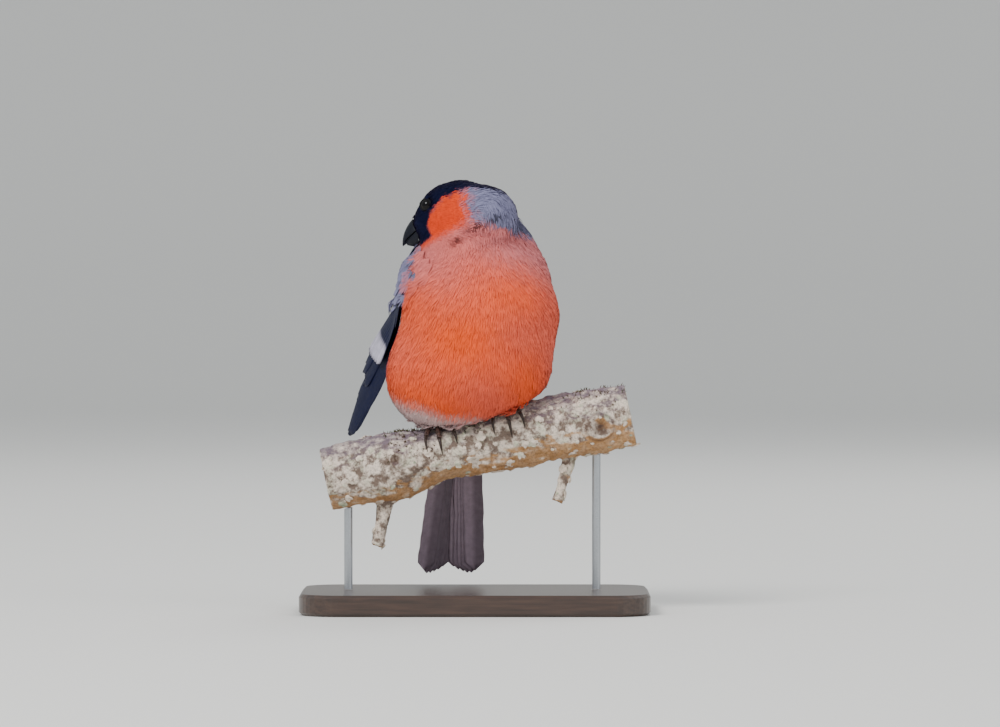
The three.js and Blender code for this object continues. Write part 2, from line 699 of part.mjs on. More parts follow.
// Materials
const material = (color, roughness, metalness = 0) =>
  new THREE.MeshStandardMaterial({ color, roughness, metalness });
const FINISH = {
  cap: material(0x14151c, 0.6),
  nape: material(0x8f8d9c, 0.85),
  breast: material(0xe2714c, 0.85),
  bill: material(0x1a1b22, 0.4),
  eye: material(0x0d0a09, 0.08),
  wing: material(0x17171f, 0.55),
  tail: material(0x2c2630, 0.6),
  leg: material(0x4a352e, 0.55),
  claw: material(0x1d1715, 0.35),
  bark: material(0x9a8578, 0.95),
  base: material(0x3b2a20, 0.45),
  rod: material(0xb9bcc0, 0.3, 1),
};

const bird = new THREE.Group();
bird.rotation.z = BODY_YAW;
const stand = new THREE.Group();

function addPart(group, name, solid, finish) {
  const mesh = new THREE.Mesh(geometryOf(solid), finish);
  mesh.name = name;
  group.add(mesh);
}

const torso = torsoSolid();
const torsoOffset = starSolid(bodyField, TORSO_AT, TORSO_DETAIL, GAP, 90);
const bodyOffset = torsoOffset.add(starSolid(birdField, NECK_AT, 5, GAP, 45));
const perch = perchSolid(0, 24, 18);
const perchOffset = perchSolid(GAP, 24, 18);
const headOffset = starSolid(birdField, HEAD_AT, HEAD_DETAIL, GAP, 45);

addPart(bird, "torso", torso, FINISH.breast);
addPart(bird, "neck", neckSolid(), FINISH.nape);
addPart(bird, "head", finishedHead(), FINISH.cap);
const bill = billSolids(headOffset, bodyOffset);
addPart(bird, "bill_upper", bill.upper, FINISH.bill);
addPart(bird, "bill_lower", bill.lower, FINISH.bill);
addPart(bird, "eye_left", eyeBall(1, 0, 16), FINISH.eye);
addPart(bird, "eye_right", eyeBall(-1, 0, 16), FINISH.eye);
for (const [side, wing] of Object.entries(WINGS)) {
  addPart(bird, `wing_${side}`, wingSolid(wing, bodyOffset), FINISH.wing);
}
addPart(bird, "tail", tailSolid(torsoOffset), FINISH.tail);
for (const [side, foot] of Object.entries(FEET)) {
  addPart(bird, `foot_${side}`, footSolid(foot), FINISH.leg);
  addPart(bird, `leg_${side}`, legSolid(foot), FINISH.leg);
  for (const toe of TOES) {
    addPart(bird, `claw_${side}_${toe.name}`, clawSolid(foot, toe), FINISH.claw);
  }
}
addPart(stand, "stand_perch", perch, FINISH.bark);
addPart(stand, "stand_base", solidOf(baseGeometry()), FINISH.base);
for (const rod of RODS) addPart(stand, rod.name, rodSolid(rod, perchOffset), FINISH.rod);

const bullfinch = new THREE.Group();
bullfinch.add(bird, stand);
export default bullfinch;
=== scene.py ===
"""Looks for a life-size male bullfinch on a cut branch, held on a plain display stand.

Metres, +Z up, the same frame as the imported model. The bird's own frame turns by BODY_YAW about Z:
+X is its left, -Y the way its breast faces.
"""

import math
from functools import partial

import bmesh
import bpy
import numpy as np
from mathutils import Matrix, Vector, noise
from mathutils.bvhtree import BVHTree


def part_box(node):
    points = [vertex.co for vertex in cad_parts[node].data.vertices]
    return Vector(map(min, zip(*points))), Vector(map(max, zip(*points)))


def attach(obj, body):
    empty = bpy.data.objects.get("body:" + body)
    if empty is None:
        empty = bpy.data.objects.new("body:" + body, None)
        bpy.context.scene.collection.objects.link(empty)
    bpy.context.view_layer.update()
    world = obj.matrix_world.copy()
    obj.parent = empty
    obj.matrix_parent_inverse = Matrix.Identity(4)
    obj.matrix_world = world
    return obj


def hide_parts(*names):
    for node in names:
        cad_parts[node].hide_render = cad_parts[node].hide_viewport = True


bl_info = {
    "name": "Bullfinch on a branch",
    "version": (1, 0, 0),
    "blender": (4, 5, 0),
    "location": "3D View > Sidebar > Bullfinch",
    "description": "Plumage, bill, feet, branch and stage of a life-size bullfinch model",
    "category": "Object",
}

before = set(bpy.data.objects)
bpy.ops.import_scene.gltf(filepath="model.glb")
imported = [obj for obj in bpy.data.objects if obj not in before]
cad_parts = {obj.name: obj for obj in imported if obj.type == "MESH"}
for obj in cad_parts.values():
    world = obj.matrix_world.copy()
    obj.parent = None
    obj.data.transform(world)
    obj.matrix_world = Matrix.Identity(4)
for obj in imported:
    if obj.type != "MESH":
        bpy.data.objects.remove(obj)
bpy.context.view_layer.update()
MM = 0.001

# How the bird stands, as in the part's source
BODY_YAW = math.radians(15)
HEAD_TURN, HEAD_PITCH, HEAD_ROLL = (math.radians(a) for a in (112, 25, -16))
HEAD_AT = Vector((-9.2, -2, 152.4))
BILL_BASE = 11.2
BIRD = Matrix.Rotation(BODY_YAW, 4, "Z")
HEAD = (
    BIRD
    @ Matrix.Translation(HEAD_AT)
    @ Matrix.Rotation(-HEAD_TURN, 4, "Z")
    @ Matrix.Rotation(HEAD_PITCH, 4, "X")
    @ Matrix.Rotation(HEAD_ROLL, 4, "Y")
)
TO_BIRD = BIRD.inverted()
TO_HEAD = HEAD.inverted()

# Middles of places on the head, in mm in the head's own frame
HEAD_MIDDLE = (0, 3, -3)
CROWN_MIDDLE = (0, 2, 0)
FACE_MIDDLE = (0, -9, -1)
LORES_MIDDLE = (0, -10, -3)
BILL_SIDES_MIDDLE = (0, -13, -2)
BILL_MIDDLE = (0, -BILL_BASE - 6, -3)


def apply(matrix, points):
    """Rows of points, in mm, moved by a matrix."""
    m = np.array(matrix)
    return points @ m[:3, :3].T + m[:3, 3]


def turn(matrix, ways):
    """Rows of directions, turned by a matrix."""
    return ways @ np.array(matrix)[:3, :3].T


def unit(ways):
    """Directions made one long."""
    return ways / np.maximum(np.linalg.norm(ways, axis=-1, keepdims=True), 1e-9)


def far_from(points, middle):
    """How far rows of points lie from a middle."""
    return np.linalg.norm(points - np.array(middle), axis=1)


def ramp(low, high, x):
    """0 below low, 1 above high, smooth between."""
    t = np.clip((x - low) / (high - low), 0, 1)
    return t * t * (3 - 2 * t)


def linear(code):
    """An sRGB hex colour as linear RGB."""
    parts = [int(code[i : i + 2], 16) / 255 for i in (1, 3, 5)]
    return tuple(c / 12.92 if c <= 0.04045 else ((c + 0.055) / 1.055) ** 2.4 for c in parts)


# Colours and sizes that a user would change


def colour(name, code, text):
    """A colour property from an sRGB hex value."""
    return bpy.props.FloatVectorProperty(
        name=name, description=text, default=linear(code), size=3, subtype="COLOR", min=0, max=1
    )


def size(name, value, text, low=0.0, high=1000.0):
    """A plain number property."""
    return bpy.props.FloatProperty(name=name, description=text, default=value, min=low, max=high)


class PlumageSettings(bpy.types.PropertyGroup):
    """Colours of the feathers and how deep the coat is"""

    breast: colour("Breast", "#FF5C22", "Orange-red of breast and belly")
    blush: colour("Blush", "#DA7C7C", "Paler pink wash of throat, upper breast and flank")
    cheek: colour("Cheek", "#F44A1E", "Brighter red of cheek and throat")
    grey: colour("Mantle", "#8483A2", "Lilac-grey of nape, mantle and shoulder")
    # the black's strong blue is partly the feathers' own blue-black, partly painted bluish shade
    black: colour("Cap", "#040A2E", "Blue-black of cap and wings")
    # the white is greyed and pinked a little: partly soiling, partly painted shade on the vent
    white: colour("Vent", "#D5C9C9", "White of rump, vent and under tail coverts")
    bar: colour("Wing bar", "#B4AFBE", "Pale tips of the greater coverts")
    # mauve-grey made paler than the feathers are: partly their own colour, partly painted light of sun
    # falling on the tail
    tail_under: colour("Tail underside", "#93828F", "Mauve-grey underside of the tail")
    coat_depth: size("Coat depth", 1.1, "How far the skin lies inside the solids, in mm", 0, 4)
    feathers: bpy.props.IntProperty(
        name="Feathers", description="Contour feathers in the coat", default=9400, min=100
    )


class BranchSettings(bpy.types.PropertyGroup):
    """Colours and crusts of the perch"""

    bark: colour("Bark", "#7C6A5E", "Brown-grey bark")
    lichen: colour("Lichen", "#EDDCCA", "Pale crust on the bark")
    shade: colour("Upper bark", "#7A6B78", "Purple-grey weathered top")
    rust: colour("Under bark", "#C8945E", "Orange-brown underside")
    green: colour("Green lichen", "#B9C0A2", "Grey-green crust among the pale one")
    moss: colour("Moss", "#3C4222", "Dark green moss")
    crusts: size("Crusts", 6.5, "Lichen crusts to each square centimetre", 0, 40)
    leaves: size("Moss leaves", 60, "Moss leaves to each square centimetre", 0, 200)
    knot: colour("Knot", "#4A3328", "Dark scar where a twig broke off")


class StageSettings(bpy.types.PropertyGroup):
    """Camera, floor and stand"""

    view_width: size("View width", 379, "Width of the picture at the bird, in mm", 50)
    camera_away: size("Camera distance", 2400, "Camera to bird, in mm", 300, 9000)
    camera_rise: bpy.props.FloatProperty(
        name="Camera rise", description="How far the camera looks down", default=math.radians(1.0),
        subtype="ANGLE",
    )
    floor: colour("Floor", "#E2E0DB", "Pale plain floor")
    wood: colour("Base", "#3C2A20", "Dark stained hardwood")


# Helpers for meshes


def linked(name, mesh):
    """A new object for a mesh, in the scene."""
    obj = bpy.data.objects.new(name, mesh)
    bpy.context.collection.objects.link(obj)
    return obj


def mesh_object(name, points, faces):
    """A smooth-shaded mesh from lists of points, in metres, and faces."""
    mesh = bpy.data.meshes.new(name)
    mesh.from_pydata([tuple(p) for p in points], [], [tuple(f) for f in faces])
    mesh.polygons.foreach_set("use_smooth", [True] * len(mesh.polygons))
    mesh.update()
    return linked(name, mesh)


def paint_points(mesh, colours):
    """Linear colours of a mesh's points, kept as its Marking."""
    rgba = np.ones((len(colours), 4), np.float32)
    rgba[:, :3] = colours
    layer = mesh.color_attributes.new("Marking", "FLOAT_COLOR", "POINT")
    layer.data.foreach_set("color", rgba.ravel())


def array_object(name, points, quads, colours, bake_uv, pattern_uv=None, facing=None):
    """A mesh of quads and triangles (last index repeated) from arrays, in metres."""
    mesh = bpy.data.meshes.new(name)
    points = np.asarray(points, dtype=np.float32)
    quads = np.asarray(quads, dtype=np.int32)
    sides = np.where(quads[:, 2] == quads[:, 3], 3, 4)
    keep = np.ones(quads.shape, bool)
    keep[:, 3] = sides == 4
    corners = quads[keep]
    starts = np.concatenate([[0], np.cumsum(sides)[:-1]])
    mesh.vertices.add(len(points))
    mesh.vertices.foreach_set("co", points.ravel())
    mesh.loops.add(len(corners))
    mesh.loops.foreach_set("vertex_index", corners.astype(np.int32))
    mesh.polygons.add(len(quads))
    mesh.polygons.foreach_set("loop_start", starts.astype(np.int32))
    mesh.polygons.foreach_set("loop_total", sides.astype(np.int32))
    mesh.polygons.foreach_set("use_smooth", np.ones(len(quads), bool))
    mesh.update(calc_edges=True)
    for uv_name, uv in (("OFBake", bake_uv), ("FeatherUV", pattern_uv)):
        if uv is not None:
            layer = mesh.uv_layers.new(name=uv_name)
            layer.data.foreach_set("uv", np.asarray(uv, np.float32)[corners].ravel())
    paint_points(mesh, colours)
    mesh.validate()
    if facing is not None:
        mesh.normals_split_custom_set_from_vertices(facing.astype(np.float32))
    return linked(name, mesh)


def copy_of(name, *nodes):
    """One merged mesh of copies of the frame's nodes."""
    bm = bmesh.new()
    for node in nodes:
        bm.from_mesh(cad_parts[node].data)
    bmesh.ops.remove_doubles(bm, verts=bm.verts, dist=2e-6)
    mesh = bpy.data.meshes.new(name)
    bm.to_mesh(mesh)
    bm.free()
    mesh.materials.clear()
    return linked(name, mesh)


def settle(obj):
    """The object's modifiers turned into a plain mesh."""
    graph = bpy.context.evaluated_depsgraph_get()
    mesh = bpy.data.meshes.new_from_object(obj.evaluated_get(graph))
    obj.modifiers.clear()
    obj.data = mesh
    return obj


def refined(name, nodes, voxel, rounds):
    """A smooth copy of faceted nodes: remeshed with voxels of so many mm, then relaxed."""
    obj = copy_of(name, *nodes)
    remesh = obj.modifiers.new("Remesh", "REMESH")
    remesh.mode = "VOXEL"
    remesh.voxel_size = voxel * MM
    remesh.use_smooth_shade = True
    smooth = obj.modifiers.new("Smooth", "SMOOTH")
    smooth.iterations = rounds
    return settle(obj)


def coords(obj, field="co"):
    """The points of an object's mesh, or their normals, as rows."""
    flat = np.empty(len(obj.data.vertices) * 3, np.float32)
    obj.data.vertices.foreach_get(field, flat)
    return flat.reshape(-1, 3).astype(float)


def set_coords(obj, points):
    """Move the points of an object's mesh."""
    obj.data.vertices.foreach_set("co", np.asarray(points, np.float32).ravel())
    obj.data.update()


def finish_piece(piece, material, slot, *nodes):
    """Give a piece its material, make it ride, and hide the nodes that it stands for. slot is not used."""
    piece.data.materials.append(material)
    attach(piece, "root")
    if nodes:
        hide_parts(*nodes)


# Helpers for materials


MIX = {"data_type": "RGBA"}
MULTIPLY = {"data_type": "RGBA", "blend_type": "MULTIPLY"}


def add_node(tree, kind, inputs=(), stops=(), **settings):
    """One node. inputs maps sockets to values or to sockets to link, and stops are a colour ramp's."""
    node = tree.nodes.new(kind)
    for key, value in settings.items():
        setattr(node, key, value)
    for key, value in dict(inputs).items():
        if isinstance(value, bpy.types.NodeSocket):
            tree.links.new(value, node.inputs[key])
        else:
            node.inputs[key].default_value = value
    for index, (place, tone) in enumerate(stops):
        stop = node.color_ramp.elements[index]
        stop.position = place
        stop.color = (*tone, 1) if isinstance(tone, tuple) else (tone, tone, tone, 1)
    return node


def new_material(name):
    """A material with an empty tree, and add_node for that tree."""
    material = bpy.data.materials.new(name)
    material.use_nodes = True
    material.node_tree.nodes.clear()
    return material, partial(add_node, material.node_tree)


# Where the zones of the plumage lie, in mm


# The cap's lower edge along the side of the head: places from bill to nape, and heights
CAP_PLACES = (-14, -9.5, -8.1, -5.5, -3.2, 0.3, 3.2, 5.9, 9.9, 13.8, 18.4, 22)
CAP_HEIGHTS = (-4.6, -4.1, -2.4, -0.9, 0.3, 1.5, 1.7, 1.3, 0.0, -2.0, -4.2, -5.4)

# Folds across the throat, as X and Z of their two ends
FOLDS = (((-2.5, 144.6), (5.5, 146.3)), ((4.5, 147.2), (12.0, 149.0)), ((-8.5, 139.2), (-4.5, 141.2)))


def zones(points):
    """Share of each colour at points given in mm in the model's frame."""
    body = apply(TO_BIRD, points)
    head = apply(TO_HEAD, points)
    x, y, z = body.T
    hx, hy, hz = head.T
    wobble = 0.8 * np.sin(hy * 1.7 + hx) + 0.6 * np.sin(hy * 0.9 - 2 * hx)
    near_head = 1 - ramp(19, 23, far_from(head, HEAD_MIDDLE))
    on_nape = 1 - ramp(20.0, 23, hy + 0.3 * wobble)
    cap = ramp(-0.6, 0.6, hz - np.interp(hy, CAP_PLACES, CAP_HEIGHTS) + 0.25 * wobble) * on_nape
    lores = (1 - ramp(-10.6, -9.4, hy + 0.2 * wobble)) * ramp(-9.8, -8.6, hz)
    lores = lores * (1 - ramp(9, 11, far_from(head, LORES_MIDDLE)))
    black = np.maximum(cap, lores) * near_head
    # the collar where head and neck meet the breast, as the head is turned
    collar = ramp(144.5, 147.5, points[:, 2] + 0.40 * points[:, 0] - 2.2 + 0.3 * wobble)
    behind_cheek = ramp(4.0, 11.0, hy + 1.6 * wobble)
    cheek = near_head * (1 - behind_cheek) * (1 - black) * ramp(-13, -9, hz)
    nape = behind_cheek * collar
    back = ramp(2, 9, y + 1.1 * np.sin(z / 6)) * ramp(86, 96, z)
    flank_back = ramp(11, 16, y)
    grey = np.clip(np.maximum.reduce([nape, back, flank_back]), 0, 1) * (1 - cheek)
    rump = ramp(10, 18, y) * (1 - ramp(94, 101, z))
    vent = 1 - ramp(71, 79, z - 0.25 * y + 0.16 * x + 0.8 * np.sin(x / 3))
    white = np.clip(np.maximum(rump, 0.85 * vent), 0, 1)
    return {"cheek": cheek, "grey": grey, "white": white, "black": black}


def crease(points):
    """1 along the folds that the turned neck pulls across the throat, 0 elsewhere: there the feathers are
    shorter and lie flatter, and their colour is darkened as painted shade.
    """
    depth = np.zeros(len(points))
    for start, end in FOLDS:
        start, end = np.array(start), np.array(end)
        way = end - start
        flat = points[:, [0, 2]] - start
        t = np.clip(flat @ way / (way @ way), 0, 1)
        far = np.linalg.norm(flat - t[:, None] * way, axis=1)
        depth = np.maximum(depth, np.exp(-(far**2)) * np.sqrt(np.sin(math.pi * (0.06 + 0.88 * t))))
    return depth * (points[:, 1] < 0)


def marking(points):
    """Linear colours of skin and coat at points in mm, with painted shade along the throat's folds: the
    same rule paints both.
    """
    plumage = bpy.context.scene.bird_plumage
    x, _, z = apply(TO_BIRD, points).T
    clouds = 0.5 + 0.25 * np.sin(x / 7 + 1.5 * np.sin(z / 11)) + 0.25 * np.sin(z / 5.5 + x / 9)
    pale = np.clip(0.30 * clouds + 0.75 * ramp(116, 139, z) + 0.25 * ramp(12, 28, x), 0, 1)[:, None]
    rgb = np.array(plumage.breast) * (1 - pale) + np.array(plumage.blush) * pale
    for name, amount in zones(points).items():
        rgb = rgb * (1 - amount[:, None]) + np.array(getattr(plumage, name)) * amount[:, None]
    # painted shade: darker along the folds across the throat, where shadow would lie
    return rgb * (1 - 0.85 * crease(points))[:, None]


def lie(points, normal):
    """The way feathers point at places on the skin: from the bill back, then down to the tail."""
    head = apply(TO_HEAD, points)
    body = apply(TO_BIRD, points)
    back_of_head = turn(HEAD, np.tile([0.0, 1.0, -0.32], (len(points), 1)))
    down = np.stack([0.012 * body[:, 0], np.full(len(points), 0.36), np.full(len(points), -1.0)], 1)
    down[:, 1] += 1.2 * (1 - ramp(70, 84, body[:, 2]))
    down = turn(BIRD, down)
    on_head = 1 - ramp(13.5, 21, far_from(head, CROWN_MIDDLE))[:, None]
    way = unit(down) * (1 - on_head) + unit(back_of_head) * on_head
    return laid(way, normal)


def laid(way, normal):
    """Directions laid flat on a surface."""
    return unit(way - normal * np.sum(way * normal, axis=1, keepdims=True))


class Surface:
    """Nearest points and rays on a mesh, in mm."""

    def __init__(self, obj):
        self.points = coords(obj) / MM
        self.normals = coords(obj, "normal")
        polygons = [tuple(p.vertices) for p in obj.data.polygons]
        self.tree = BVHTree.FromPolygons([tuple(p) for p in self.points], polygons)

    def nearest(self, points):
        """The surface's points nearest to rows of points, and its normals there."""
        found = [self.tree.find_nearest(Vector(p))[:2] for p in points]
        return tuple(np.array([pair[i] for pair in found], float) for i in (0, 1))

    def hit(self, origin, way):
        """Where a ray meets the surface: place, normal, face and distance, or four times None."""
        return self.tree.ray_cast(Vector(origin), Vector(way), 200.0)


def unwrap(obj):
    """An unwrap of the skin's own shape, named OFBake."""
    bpy.context.view_layer.objects.active = obj
    obj.select_set(True)
    bpy.ops.object.mode_set(mode="EDIT")
    bpy.ops.mesh.select_all(action="SELECT")
    bpy.ops.uv.smart_project(angle_limit=math.radians(66), island_margin=0.004)
    bpy.ops.object.mode_set(mode="OBJECT")
    obj.select_set(False)
    obj.data.uv_layers[0].name = "OFBake"


def skin_places(points):
    """Where points in mm lie in the skin's unwrap."""
    skin = bpy.data.objects["skin"]
    tree = BVHTree.FromPolygons(
        [tuple(p) for p in coords(skin) / MM], [tuple(p.vertices) for p in skin.data.polygons]
    )
    starts = [polygon.loop_start for polygon in skin.data.polygons]
    uv = np.empty(len(skin.data.loops) * 2, np.float32)
    skin.data.uv_layers["OFBake"].data.foreach_get("uv", uv)
    faces = [tree.find_nearest(Vector(p))[2] for p in points]
    return uv.reshape(-1, 2)[[starts[face] for face in faces]]


def plumage_material(name, rough, sheen, streak_mm):
    """Feather: soft barbs that scatter light, with a faint grain along each barb."""
    material, add = new_material(name)
    at = add("ShaderNodeTexCoord").outputs["Object"]
    grain = add("ShaderNodeTexNoise", {
        "Vector": at, "Scale": 1 / streak_mm / MM, "Detail": 3, "Roughness": 0.6,
    }).outputs["Fac"]
    cloud = add("ShaderNodeTexNoise", {
        "Vector": at, "Scale": 0.12 / MM, "Detail": 2, "Roughness": 0.5,  # soft clouds about 8 mm across
    }).outputs["Fac"]
    tone = add("ShaderNodeAttribute", attribute_name="Marking").outputs["Color"]
    for pattern, stops in ((grain, [(0.3, 0.93), (0.7, 1.0)]), (cloud, [(0.35, 0.92), (0.65, 1.0)])):
        shade = add("ShaderNodeValToRGB", {"Fac": pattern}, stops).outputs["Color"]
        tone = add("ShaderNodeMix", {0: 1.0, 6: tone, 7: shade}, **MULTIPLY).outputs[2]
    bump = add("ShaderNodeBump", {"Height": grain, "Strength": 0.12, "Distance": 0.1 * MM})
    surface = add("ShaderNodeBsdfPrincipled", {
        "Base Color": tone, "Roughness": rough, "Specular IOR Level": 0.15, "Sheen Weight": sheen,
        "Sheen Roughness": 0.4, "Sheen Tint": (*linear("#D08C86"), 1), "Normal": bump.outputs["Normal"],
    })
    add("ShaderNodeOutputMaterial", {"Surface": surface.outputs["BSDF"]})
    return material


# The skin: one closed surface under head, neck and body


class BULLFINCH_OT_skin(bpy.types.Operator):
    """Make the one skin that lies under the coat of head, neck and body"""

    bl_idname = "bullfinch.skin"
    bl_label = "Skin"

    def execute(self, context):
        depth = context.scene.bird_plumage.coat_depth
        skin = refined("skin", ["torso", "neck", "head"], voxel=0.9, rounds=4)
        bm = bmesh.new()
        bm.from_mesh(skin.data)
        for part in sorted(loose_parts(bm), key=len)[:-1]:
            bmesh.ops.delete(bm, geom=part, context="VERTS")
        bm.to_mesh(skin.data)
        bm.free()
        points = coords(skin) / MM
        inward = coords(skin, "normal")
        head = apply(TO_HEAD, points)
        near_face = 1 - ramp(9, 17, far_from(head, FACE_MIDDLE))
        inset = depth * (1 - 0.72 * near_face)  # the coat is thin on the face
        set_coords(skin, (points - inward * inset[:, None]) * MM)
        relax = skin.modifiers.new("Relax", "SMOOTH")
        relax.iterations = 3
        settle(skin)
        unwrap(skin)
        paint_points(skin.data, marking(coords(skin) / MM) * 0.8)
        skin.data.polygons.foreach_set("use_smooth", [True] * len(skin.data.polygons))
        # down under the contour feathers: matt, soft and a little darker than they are
        down = plumage_material("Downy skin", rough=0.95, sheen=0.05, streak_mm=0.5)
        finish_piece(skin, down, "plumage_red", "torso", "neck", "head")
        return {"FINISHED"}


def loose_parts(bm):
    """The vertices of each separate surface of a bmesh."""
    bm.verts.ensure_lookup_table()
    seen = set()
    parts = []
    for start in bm.verts:
        if start in seen:
            continue
        stack, part = [start], []
        seen.add(start)
        while stack:
            vert = stack.pop()
            part.append(vert)
            for edge in vert.link_edges:
                other = edge.other_vert(vert)
                if other not in seen:
                    seen.add(other)
                    stack.append(other)
        parts.append(part)
    return parts


# The coat: contour feathers, each a fan of barbs

BARBS = 9
COAT_PIECES = 8
BARB_SHARE = np.linspace(-1, 1, BARBS)
TUFT_HALF = 0.0015  # half the width of a feather's patch in the OFBake map
SCATTER_CELL = 0.8  # mm, of the grid that finds near neighbours


def scatter(skin, count, seed, density):
    """Even random places on a surface: points and normals."""
    rng = np.random.default_rng(seed)
    mesh = skin.data
    mesh.calc_loop_triangles()
    tri = np.empty(len(mesh.loop_triangles) * 3, np.int32)
    mesh.loop_triangles.foreach_get("vertices", tri)
    tri = tri.reshape(-1, 3)
    points = coords(skin) / MM
    a, b, c = (points[tri[:, i]] for i in range(3))
    area = np.linalg.norm(np.cross(b - a, c - a), axis=1)
    area = area * density((a + b + c) / 3)
    chosen = rng.choice(len(tri), size=count * 3, p=area / area.sum())
    u, v = rng.random(count * 3), rng.random(count * 3)
    flip = u + v > 1
    u[flip], v[flip] = 1 - u[flip], 1 - v[flip]
    weights = np.stack([1 - u - v, u, v], 1)
    where = np.einsum("ni,nij->nj", weights, points[tri[chosen]])
    normal = unit(np.einsum("ni,nij->nj", weights, coords(skin, "normal")[tri[chosen]]))
    # keep the points that stand apart from those already kept
    taken, keep = {}, []
    for i, gap in enumerate(0.95 / np.sqrt(np.maximum(density(where), 0.05))):
        key = tuple((where[i] / SCATTER_CELL).astype(int))
        if not crowded(taken, key, where[i], gap):
            taken.setdefault(key, []).append(where[i])
            keep.append(i)
            if len(keep) >= count:
                break
    return where[keep], normal[keep]


def crowded(taken, key, point, gap):
    """Whether a point already taken, sorted by grid cell, lies nearer than gap."""
    reach = int(gap / SCATTER_CELL) + 1
    steps = range(-reach, reach + 1)
    return any(
        np.abs(other - point).max() < gap and np.dot(other - point, other - point) < gap * gap
        for dx in steps for dy in steps for dz in steps
        for other in taken.get((key[0] + dx, key[1] + dy, key[2] + dz), ())
    )


def fans(surface, where, normal, place, length, width, lift, seed, rows=3, way=None, tint=None):
    """Contour feathers as fans of tapering three-sided barbs that hug the skin, in mm.

    where, normal and place are the roots, the skin's normals there and their spots in its unwrap.
    """
    rng = np.random.default_rng(seed)
    count = len(where)
    way = lie(where, normal) if way is None else way
    way = unit(way + 0.16 * rng.normal(size=(count, 1)) * np.cross(normal, way))
    middle, _ = surface.nearest(where + way * (0.5 * length)[:, None])
    end, end_normal = surface.nearest(middle + unit(way) * (0.5 * length)[:, None])
    across = unit(np.cross(normal, way))
    steps = np.linspace(0, 1, rows + 1)
    reach = 1 - 0.30 * BARB_SHARE**2
    reach = reach[None, :] * (1 + 0.10 * rng.normal(size=(count, BARBS)))
    sway = 0.05 * rng.normal(size=(count, BARBS))
    rise = lift[:, None] * np.clip(1 + 0.16 * rng.normal(size=(count, BARBS)), 0.5, 1.6)
    points = np.empty((count, BARBS, rows * 3 + 1, 3))
    facing = np.empty_like(points)
    barb_width = (width / BARBS * 1.25)[:, None]
    for index, step in enumerate(steps):
        t = step * reach
        base = (
            ((1 - t) ** 2)[..., None] * where[:, None]
            + (2 * t * (1 - t))[..., None] * (2 * middle - 0.5 * (where + end))[:, None]
            + (t**2)[..., None] * end[:, None]
        )
        up = unit((1 - t)[..., None] * normal[:, None] + t[..., None] * end_normal[:, None])
        spread = np.sin(np.minimum(step * 1.9, math.pi / 2)) * (BARB_SHARE[None, :] + sway * step)
        side = across[:, None] * (spread * width[:, None] * 0.5)[..., None]
        height = 0.12 + rise * (1 - (1 - step) ** 2) - 0.07 * width[:, None] * spread**2
        centre = base + side + up * height[..., None]
        lean = up + across[:, None] * (0.22 * spread)[..., None]
        if index == rows:
            points[:, :, rows * 3], facing[:, :, rows * 3] = centre, unit(lean)
            continue
        facing[:, :, index * 3] = unit(lean - 0.3 * across[:, None])
        facing[:, :, index * 3 + 1] = unit(lean + 0.3 * across[:, None])
        facing[:, :, index * 3 + 2] = -up
        half = barb_width * (1 - 0.45 * step) * (0.55 if index == 0 else 1)
        left = centre - across[:, None] * (half * 0.5)[..., None]
        right = centre + across[:, None] * (half * 0.5)[..., None]
        under = centre - up * (half * 0.45)[..., None]
        points[:, :, index * 3] = left
        points[:, :, index * 3 + 1] = right
        points[:, :, index * 3 + 2] = under
    per = rows * 3 + 1
    offsets = np.arange(count * BARBS) * per
    quads = (barb_faces(rows)[None] + offsets[:, None, None]).reshape(-1, 4)
    jitter = np.clip(rng.normal(size=count), -2, 2) * 0.35
    if tint is None:
        tint = marking(where + way * (0.7 * length)[:, None])
    root_colour = tint * (1 + 0.10 * jitter[:, None])
    shade = np.concatenate([np.repeat(0.90 + 0.12 * steps[:-1], 3), [1.03]])
    colours = root_colour[:, None, None] * shade[None, None, :, None]
    colours = colours * (1 + 0.04 * rng.normal(size=(count, BARBS, 1, 1)))
    shape = (count, BARBS, per)
    along = np.repeat(np.linspace(-1, 1, rows + 1), 3)[:per]
    patch = np.stack([np.broadcast_to(BARB_SHARE[:, None], shape), np.broadcast_to(along, shape)], -1)
    spot = place[:, None, None] + TUFT_HALF * patch
    return (
        points.reshape(-1, 3), quads, np.clip(colours.reshape(-1, 3), 0, 1), spot.reshape(-1, 2),
        facing.reshape(-1, 3),
    )


def barb_faces(rows):
    """Faces of one barb: a closed root, three-sided rings and a pointed tip."""
    faces = [(0, 1, 2, 2)]
    tip = rows * 3
    for ring in range(rows):
        for k in range(3):
            p, q = ring * 3 + k, ring * 3 + (k + 1) % 3
            faces.append((q, p, tip, tip) if ring == rows - 1 else (q, p, p + 3, q + 3))
    return np.array(faces)


def feather_size(points):
    """Length of a contour feather in mm: small on the face, long on the breast, flank and rump."""
    head = apply(TO_HEAD, points)
    body = apply(TO_BIRD, points)
    length = 1.3 + 5.6 * ramp(2, 34, far_from(head, BILL_SIDES_MIDDLE))
    return length + 1.6 * (1 - ramp(74, 92, body[:, 2]))


def feather_density(points):
    """Feathers grow closer together where they are small."""
    return 1 / np.clip(feather_size(points) / 5.5, 0.28, 2) ** 1.6


def even_density(points):
    """Feathers as close together everywhere."""
    return np.full(len(points), 1.6)


BILL_REACH = (3.2, 4.6, 3.4)  # mm, half sizes of the bare ellipsoid round the bill
EYE_CLEAR = 2.95  # mm left bare round the middle of an eye


def clear_of_face(points):
    """Whether a place may grow feathers: not on the eyes or the bill."""
    head = apply(TO_HEAD, points)
    ok = far_from((head - np.array(BILL_MIDDLE)) / BILL_REACH, (0, 0, 0)) > 1
    for side in ("left", "right"):
        low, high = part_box(f"eye_{side}")
        middle = (np.array(low) + np.array(high)) / 2 / MM
        ok &= far_from(points, middle) > EYE_CLEAR
    return ok


